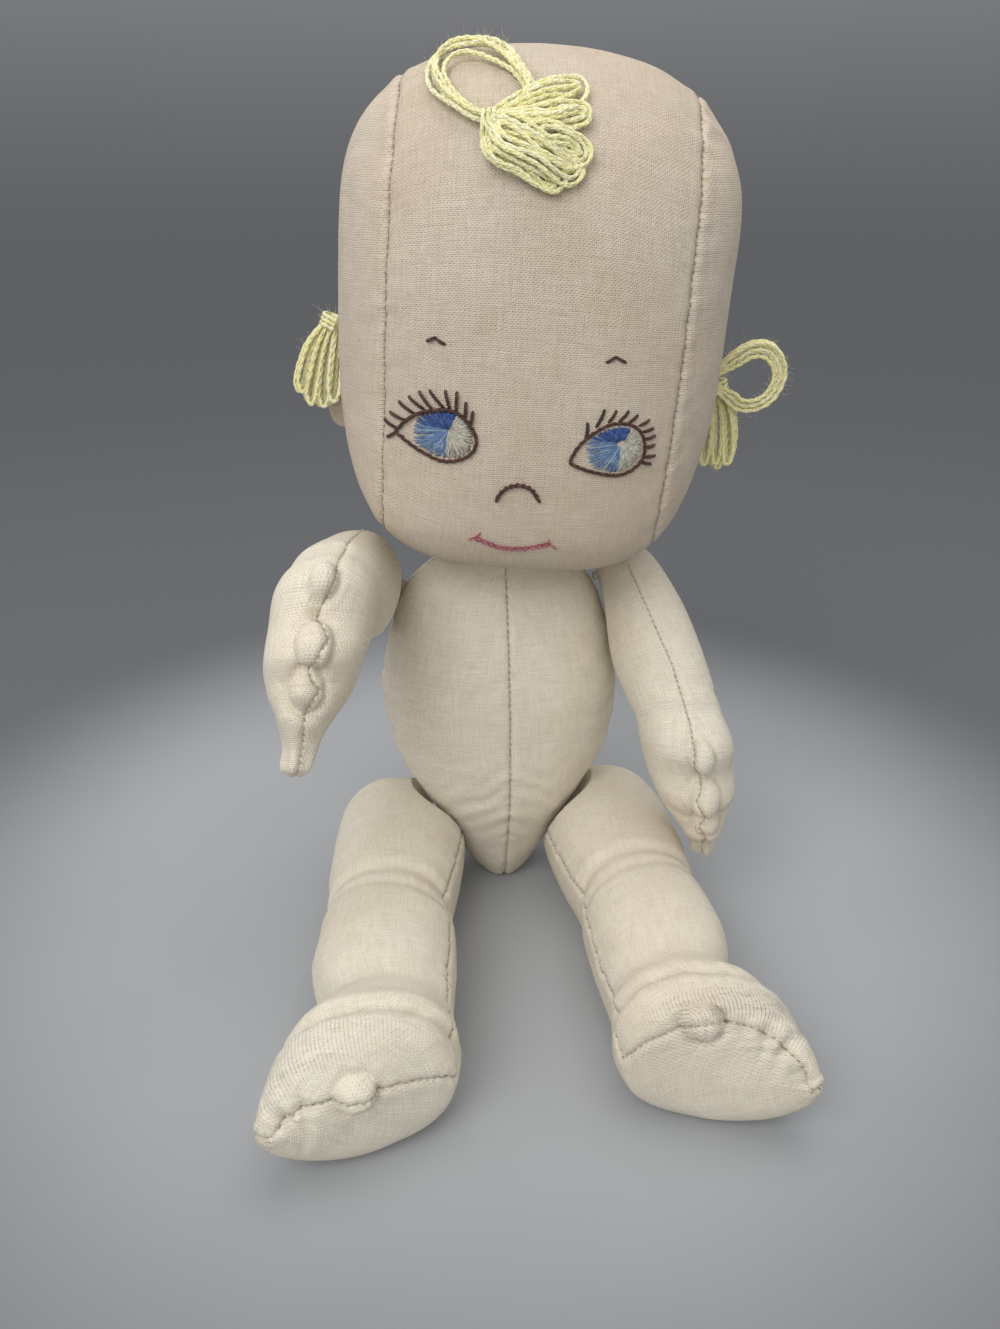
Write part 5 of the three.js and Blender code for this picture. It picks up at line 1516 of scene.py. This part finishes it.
# The left tuft's ring, as places out from its root and up
LEFT_RING = (
    (0, 1.5), (5, 7.5), (10.5, 11), (16.5, 10.8), (20.8, 6.5), (22, 0.8), (19.5, -5.4), (14.5, -8.6),
    (9, -8.6), (4.5, -5.6), (1, -2.5),
)
LEFT_RING_STRANDS = 7
LEFT_TUFT_BELOW = 40.0
RIGHT_TUFT_BELOW = 29.0
SIDE_BUNCH_LENGTH = 27


def side_frame(side, below):
    """The root of a side tuft and the ways down, across and away from the head there."""
    root = np.array([side * (reach_at(-below) + 0.8), SIDE_TUFT_BEHIND, HEAD_LEVEL - below])
    down = unit(np.array([side * 0.35, 0, -1.0]))
    away = unit(np.array([side * 1.0, 0, 0.35]))
    return root, down, np.cross(down, away), away


def in_doll(points, back):
    """A path on the straight head as one on the doll, with the directions towards its front."""
    placed = head_to_doll(points)
    return placed, unit(head_to_doll(points - back) - placed)


def side_bunch(side, below, width, count, seed):
    """Loops of yarn that hang from one place on the side of the head."""
    draw = random.Random(seed)
    root = side_frame(side, below)[0]
    out, back, down = np.array([side, 0, 0]), np.array([0, 1.0, 0]), np.array([0, 0, -1.0])
    paths, normals = [], []
    for index in range(count):
        share = (index + 0.5) / count
        far = SIDE_BUNCH_LENGTH * (1 - 0.35 * (share - 0.35) ** 2) * draw.uniform(0.92, 1.03)
        reach = 1.6 + width * share + draw.uniform(-0.4, 0.4)
        layer = (-3.6, 2.4, -0.6, 4.2)[index % 4] + draw.uniform(-0.5, 0.5)
        half = 1.35 + draw.uniform(-0.2, 0.25)
        places = []
        for s, h in LOOP:
            swung = reach * (0.18 + 0.82 * s**0.75) + 2.2 * math.sin(math.pi * s) * share + h * half
            places.append(root + down * far * s + out * swung + back * layer * (0.25 + 0.75 * s))
        path, normal = in_doll(resampled(places, SIDE_YARN_STEPS), back)
        paths.append(path)
        normals.append(normal)
    return paths, normals


def side_ring():
    """The left tuft's ring, of strands that lie within and behind one another."""
    root = side_frame(1, LEFT_TUFT_BELOW)[0] + np.array([0.4, -3.6, 0.5])
    out = np.array([1.0, 0, 0.04])
    up = np.array([0, 0, 1.0])
    back = np.array([0, 1.0, 0])
    paths, normals = [], []
    for index in range(LEFT_RING_STRANDS):
        grow = 1 - 0.085 * (index % 5)
        behind = back * (0.7 * (index % 2) + 1.3 * (index // 5) - 0.6)
        places = []
        for x, y in LEFT_RING:
            far = 12 + (x - 12) * grow if x > 4 else x
            places.append(root + out * far + up * (y * grow + 0.4 * (index % 2)) + behind)
        path, normal = in_doll(resampled(places, SIDE_YARN_STEPS), back)
        paths.append(path)
        normals.append(normal)
    return paths, normals


for side, sign, below, width, count, seed in (
    ("right", -1, RIGHT_TUFT_BELOW, 12, 15, 41), ("left", 1, LEFT_TUFT_BELOW, 10, 12, 42),
):
    points, normals = side_bunch(sign, below, width, count, seed)
    head_parts.append(yarn_object(f"yarn_{side}_bunch", points, normals, f"hair_{side}_bunch", seed))
    root, down, across, away = side_frame(sign, below)
    centre = head_to_doll(root + down * 2.6 + away * 0.4)
    turned = [unit(head_to_doll(root + way) - head_to_doll(root)) for way in (down, across, away)]
    head_parts.append(tie_object(f"yarn_{side}_tie", centre, *turned, 4.4, 4.6, f"hair_{side}_tie"))
points, normals = side_ring()
head_parts.append(yarn_object("yarn_left_ring", points, normals, "hair_left_ring", 43))

for made in head_parts:
    made.parent = head_filling
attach(head_filling, "head")


# Limb pieces

def limb_pieces(kind, side, form, halves, edges):
    """The stuffing of a limb, its two panels of cloth and the stitches of its two seams."""
    body = f"{kind}_{side}"
    stuffing = filling(f"{kind}_filling_{side}", form, 2.4, f"{body}_stuffing", shrink=0.82, short=4)
    q = form.quarter
    for index, half in enumerate(halves):
        piece = panel_object(f"{kind}_cloth_{half}_{side}", form, 2 * index * q, 2 * (index + 1) * q)
        dressed(piece, f"{body}_{half}").parent = stuffing
    for index, edge in enumerate(edges):
        points, normals = [grid[10:-4, 2 * index * q] for grid in (form.points, form.normals)]
        piece = stitches(f"{kind}_seam_{edge}_{side}", points, normals, 2.1, 1.3, 0.13)
        piece.parent = stuffing
    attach(stuffing, body)


# Each arm: side, pitch at the shoulder, bend at the elbow, swing, seed, and how its front seam leans round it
ARMS = {
    "left": (1, 43, 47, (-40, 4), 101, [
        (0, -0.4), (0.16, -0.35), (0.29, -0.25), (0.42, -0.13), (0.55, -0.1), (0.622, -0.22), (0.664, 0),
        (0.715, -0.26), (0.767, 0), (0.812, -0.25), (0.862, -0.1), (1, -0.3),
    ]),
    "right": (-1, -19, 75, (0, 60), 131, [
        (0, -0.1), (0.3, -0.2), (0.52, -0.35), (0.622, -0.3), (0.664, 0), (0.715, -0.3), (0.767, 0),
        (0.812, -0.3), (0.862, -0.15), (1, -0.3),
    ]),
}
# Each leg: side, splay, swing, seed, how its inner seam leans round it, its toe bump, its folds and its ankle
LEGS = {
    "left": (1, 2, (0, 90), 161, [
        (0, 0.2), (0.57, 0.25), (0.66, 0.15), (0.81, 0.3), (0.875, 0), (0.888, 0.18), (0.906, 0.62),
        (0.916, 0.95), (0.928, 1.25), (0.947, 1.5), (0.963, 1.6), (1, 1.6),
    ], 0.918, (0.949, 0.966), 0.83),
    "right": (-1, 6, (0, 90), 191, [
        (0, 0.2), (0.3, 0.4), (0.6, 0.47), (0.72, 0.5), (0.84, 0.35), (0.876, 0), (0.893, 0.14),
        (0.914, 0.28), (0.937, 0.42), (0.953, 0.57), (0.967, 0.68), (0.982, 0.9), (1, 1.1),
    ], 0.953, (0.982, 0.991), 0.858),
}
for side, sizes in ARMS.items():
    limb_pieces("arm", side, arm_form(*sizes), ("outer", "inner"), ("front", "back"))
for side, sizes in LEGS.items():
    limb_pieces("leg", side, leg_form(*sizes), ("upper", "lower"), ("outer", "inner"))


def shank_piece(name, node, turns=4, thread=0.28, steps=140):
    """Windings of thread round the axis on which a limb hangs."""
    low, high = [np.array(corner) / MM + np.array([0, SEAT_BEHIND, 0]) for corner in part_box(node)]
    centre = (low + high) / 2
    turn = np.linspace(0, 2 * math.pi * turns, steps)
    radius = (high[2] - low[2]) / 2 - thread
    x = np.linspace(low[0] + 0.3, high[0] - 0.3, steps)
    path = np.stack([x, centre[1] + radius * np.cos(turn), centre[2] + radius * np.sin(turn)], axis=1)
    core = np.tile(centre, (steps, 1))
    core[:, 0] = np.linspace(low[0], high[0], steps)
    normals = np.broadcast_to([1.0, 0.0, 0.0], path.shape)
    up = np.broadcast_to([0.0, 0.0, 1.0], path.shape)
    radii = [np.full(steps, thread), np.full(steps, radius * 0.9)]
    mesh = strand_mesh(name, [path, core], radii, [normals, up], 8)
    made = dressed(new_object(name, mesh, "thread"), node)
    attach(made, "torso")


for side in ("left", "right"):
    shank_piece(f"shoulder_winding_{side}", f"shoulder_thread_{side}")
    shank_piece(f"hip_winding_{side}", f"hip_thread_{side}")


# Stage, lights and camera

# The stage's sides all round, and how far before the doll its middle lies, in metres
STAGE_SIDES = 96
STAGE_BEFORE = 0.06
# The camera stands this far before the doll and this high, in metres. It looks to the side and down
CAMERA_DISTANCE = 0.319
CAMERA_HEIGHT = 0.23
CAMERA_TURN = math.radians(7)
CAMERA_DIP = math.radians(25)
SENSOR = 36
PICTURE_WIDTH = 1000
PICTURE_HEIGHT = 1329


def stage_piece(name, radius, height):
    """A round piece of the stage from distances out and heights in metres."""
    turn = np.linspace(0, 2 * math.pi, STAGE_SIDES, endpoint=False)
    points = np.stack([radius[:, None] * np.cos(turn), radius[:, None] * np.sin(turn) - STAGE_BEFORE,
                       np.broadcast_to(height[:, None], (len(radius), STAGE_SIDES))], axis=-1)
    points = points / MM + np.array([0, SEAT_BEHIND, 0])
    grain = np.zeros((len(radius), STAGE_SIDES + 1, 2))
    made = grid_object(name, points, grain, "stage", wrap=True, thickness=0)
    return made


def stage():
    """A floor that carries the shadow, and a curved backdrop that lets the light through."""
    stage_piece("floor", np.concatenate([[0.0001], np.linspace(0.05, 0.9, 12)]), np.zeros(13))
    curve = np.linspace(0, 1.4, 14)
    radius = np.concatenate([0.9 + 0.5 * np.sin(curve), np.full(4, 1.4)])
    height = np.concatenate([0.5 - 0.5 * np.cos(curve), [0.7, 1, 1.4, 2.2]])
    backdrop = stage_piece("backdrop", radius, height)
    backdrop.visible_diffuse = False
    backdrop.visible_glossy = False
    backdrop.visible_transmission = False
    backdrop.visible_shadow = False


def area_light(name, place, target, size, power):
    data = bpy.data.lights.new(name, "AREA")
    data.shape = "DISK"
    data.size = size
    data.energy = power
    lamp = bpy.data.objects.new(name, data)
    bpy.context.scene.collection.objects.link(lamp)
    lamp.location = place
    lamp.rotation_euler = (Vector(target) - Vector(place)).to_track_quat("-Z", "Y").to_euler()


stage()
area_light("key_light", (-0.46, -0.62, 0.8), (0, -0.02, 0.1), 0.6, 3.5)
area_light("front_light", (-0.3, -0.95, 0.55), (0, -0.02, 0.08), 0.7, 2.0)
area_light("top_light", (0.1, 0.1, 1.15), (0, -0.02, 0.12), 0.9, 3.6)
world = bpy.data.worlds.new("studio")
world.use_nodes = True
background = world.node_tree.nodes["Background"]
background.inputs["Color"].default_value = (1, 1, 1, 1)
background.inputs["Strength"].default_value = 0.56
bpy.context.scene.world = world
bpy.context.scene.view_settings.view_transform = "Standard"

camera_data = bpy.data.cameras.new("camera")
camera_data.sensor_fit = "AUTO"
camera_data.sensor_width = SENSOR
camera_data.lens = SENSOR * PICTURE_WIDTH / PICTURE_HEIGHT
camera_data.clip_start = 0.01
camera = bpy.data.objects.new("camera", camera_data)
bpy.context.scene.collection.objects.link(camera)
aside, ahead = math.sin(CAMERA_TURN), math.cos(CAMERA_TURN)
direction = Vector((aside * math.cos(CAMERA_DIP), ahead * math.cos(CAMERA_DIP), -math.sin(CAMERA_DIP)))
camera.location = (-CAMERA_DISTANCE * aside, -CAMERA_DISTANCE * ahead - SEAT_BEHIND * MM, CAMERA_HEIGHT)
camera.rotation_euler = direction.to_track_quat("-Z", "Y").to_euler()
bpy.context.scene.camera = camera
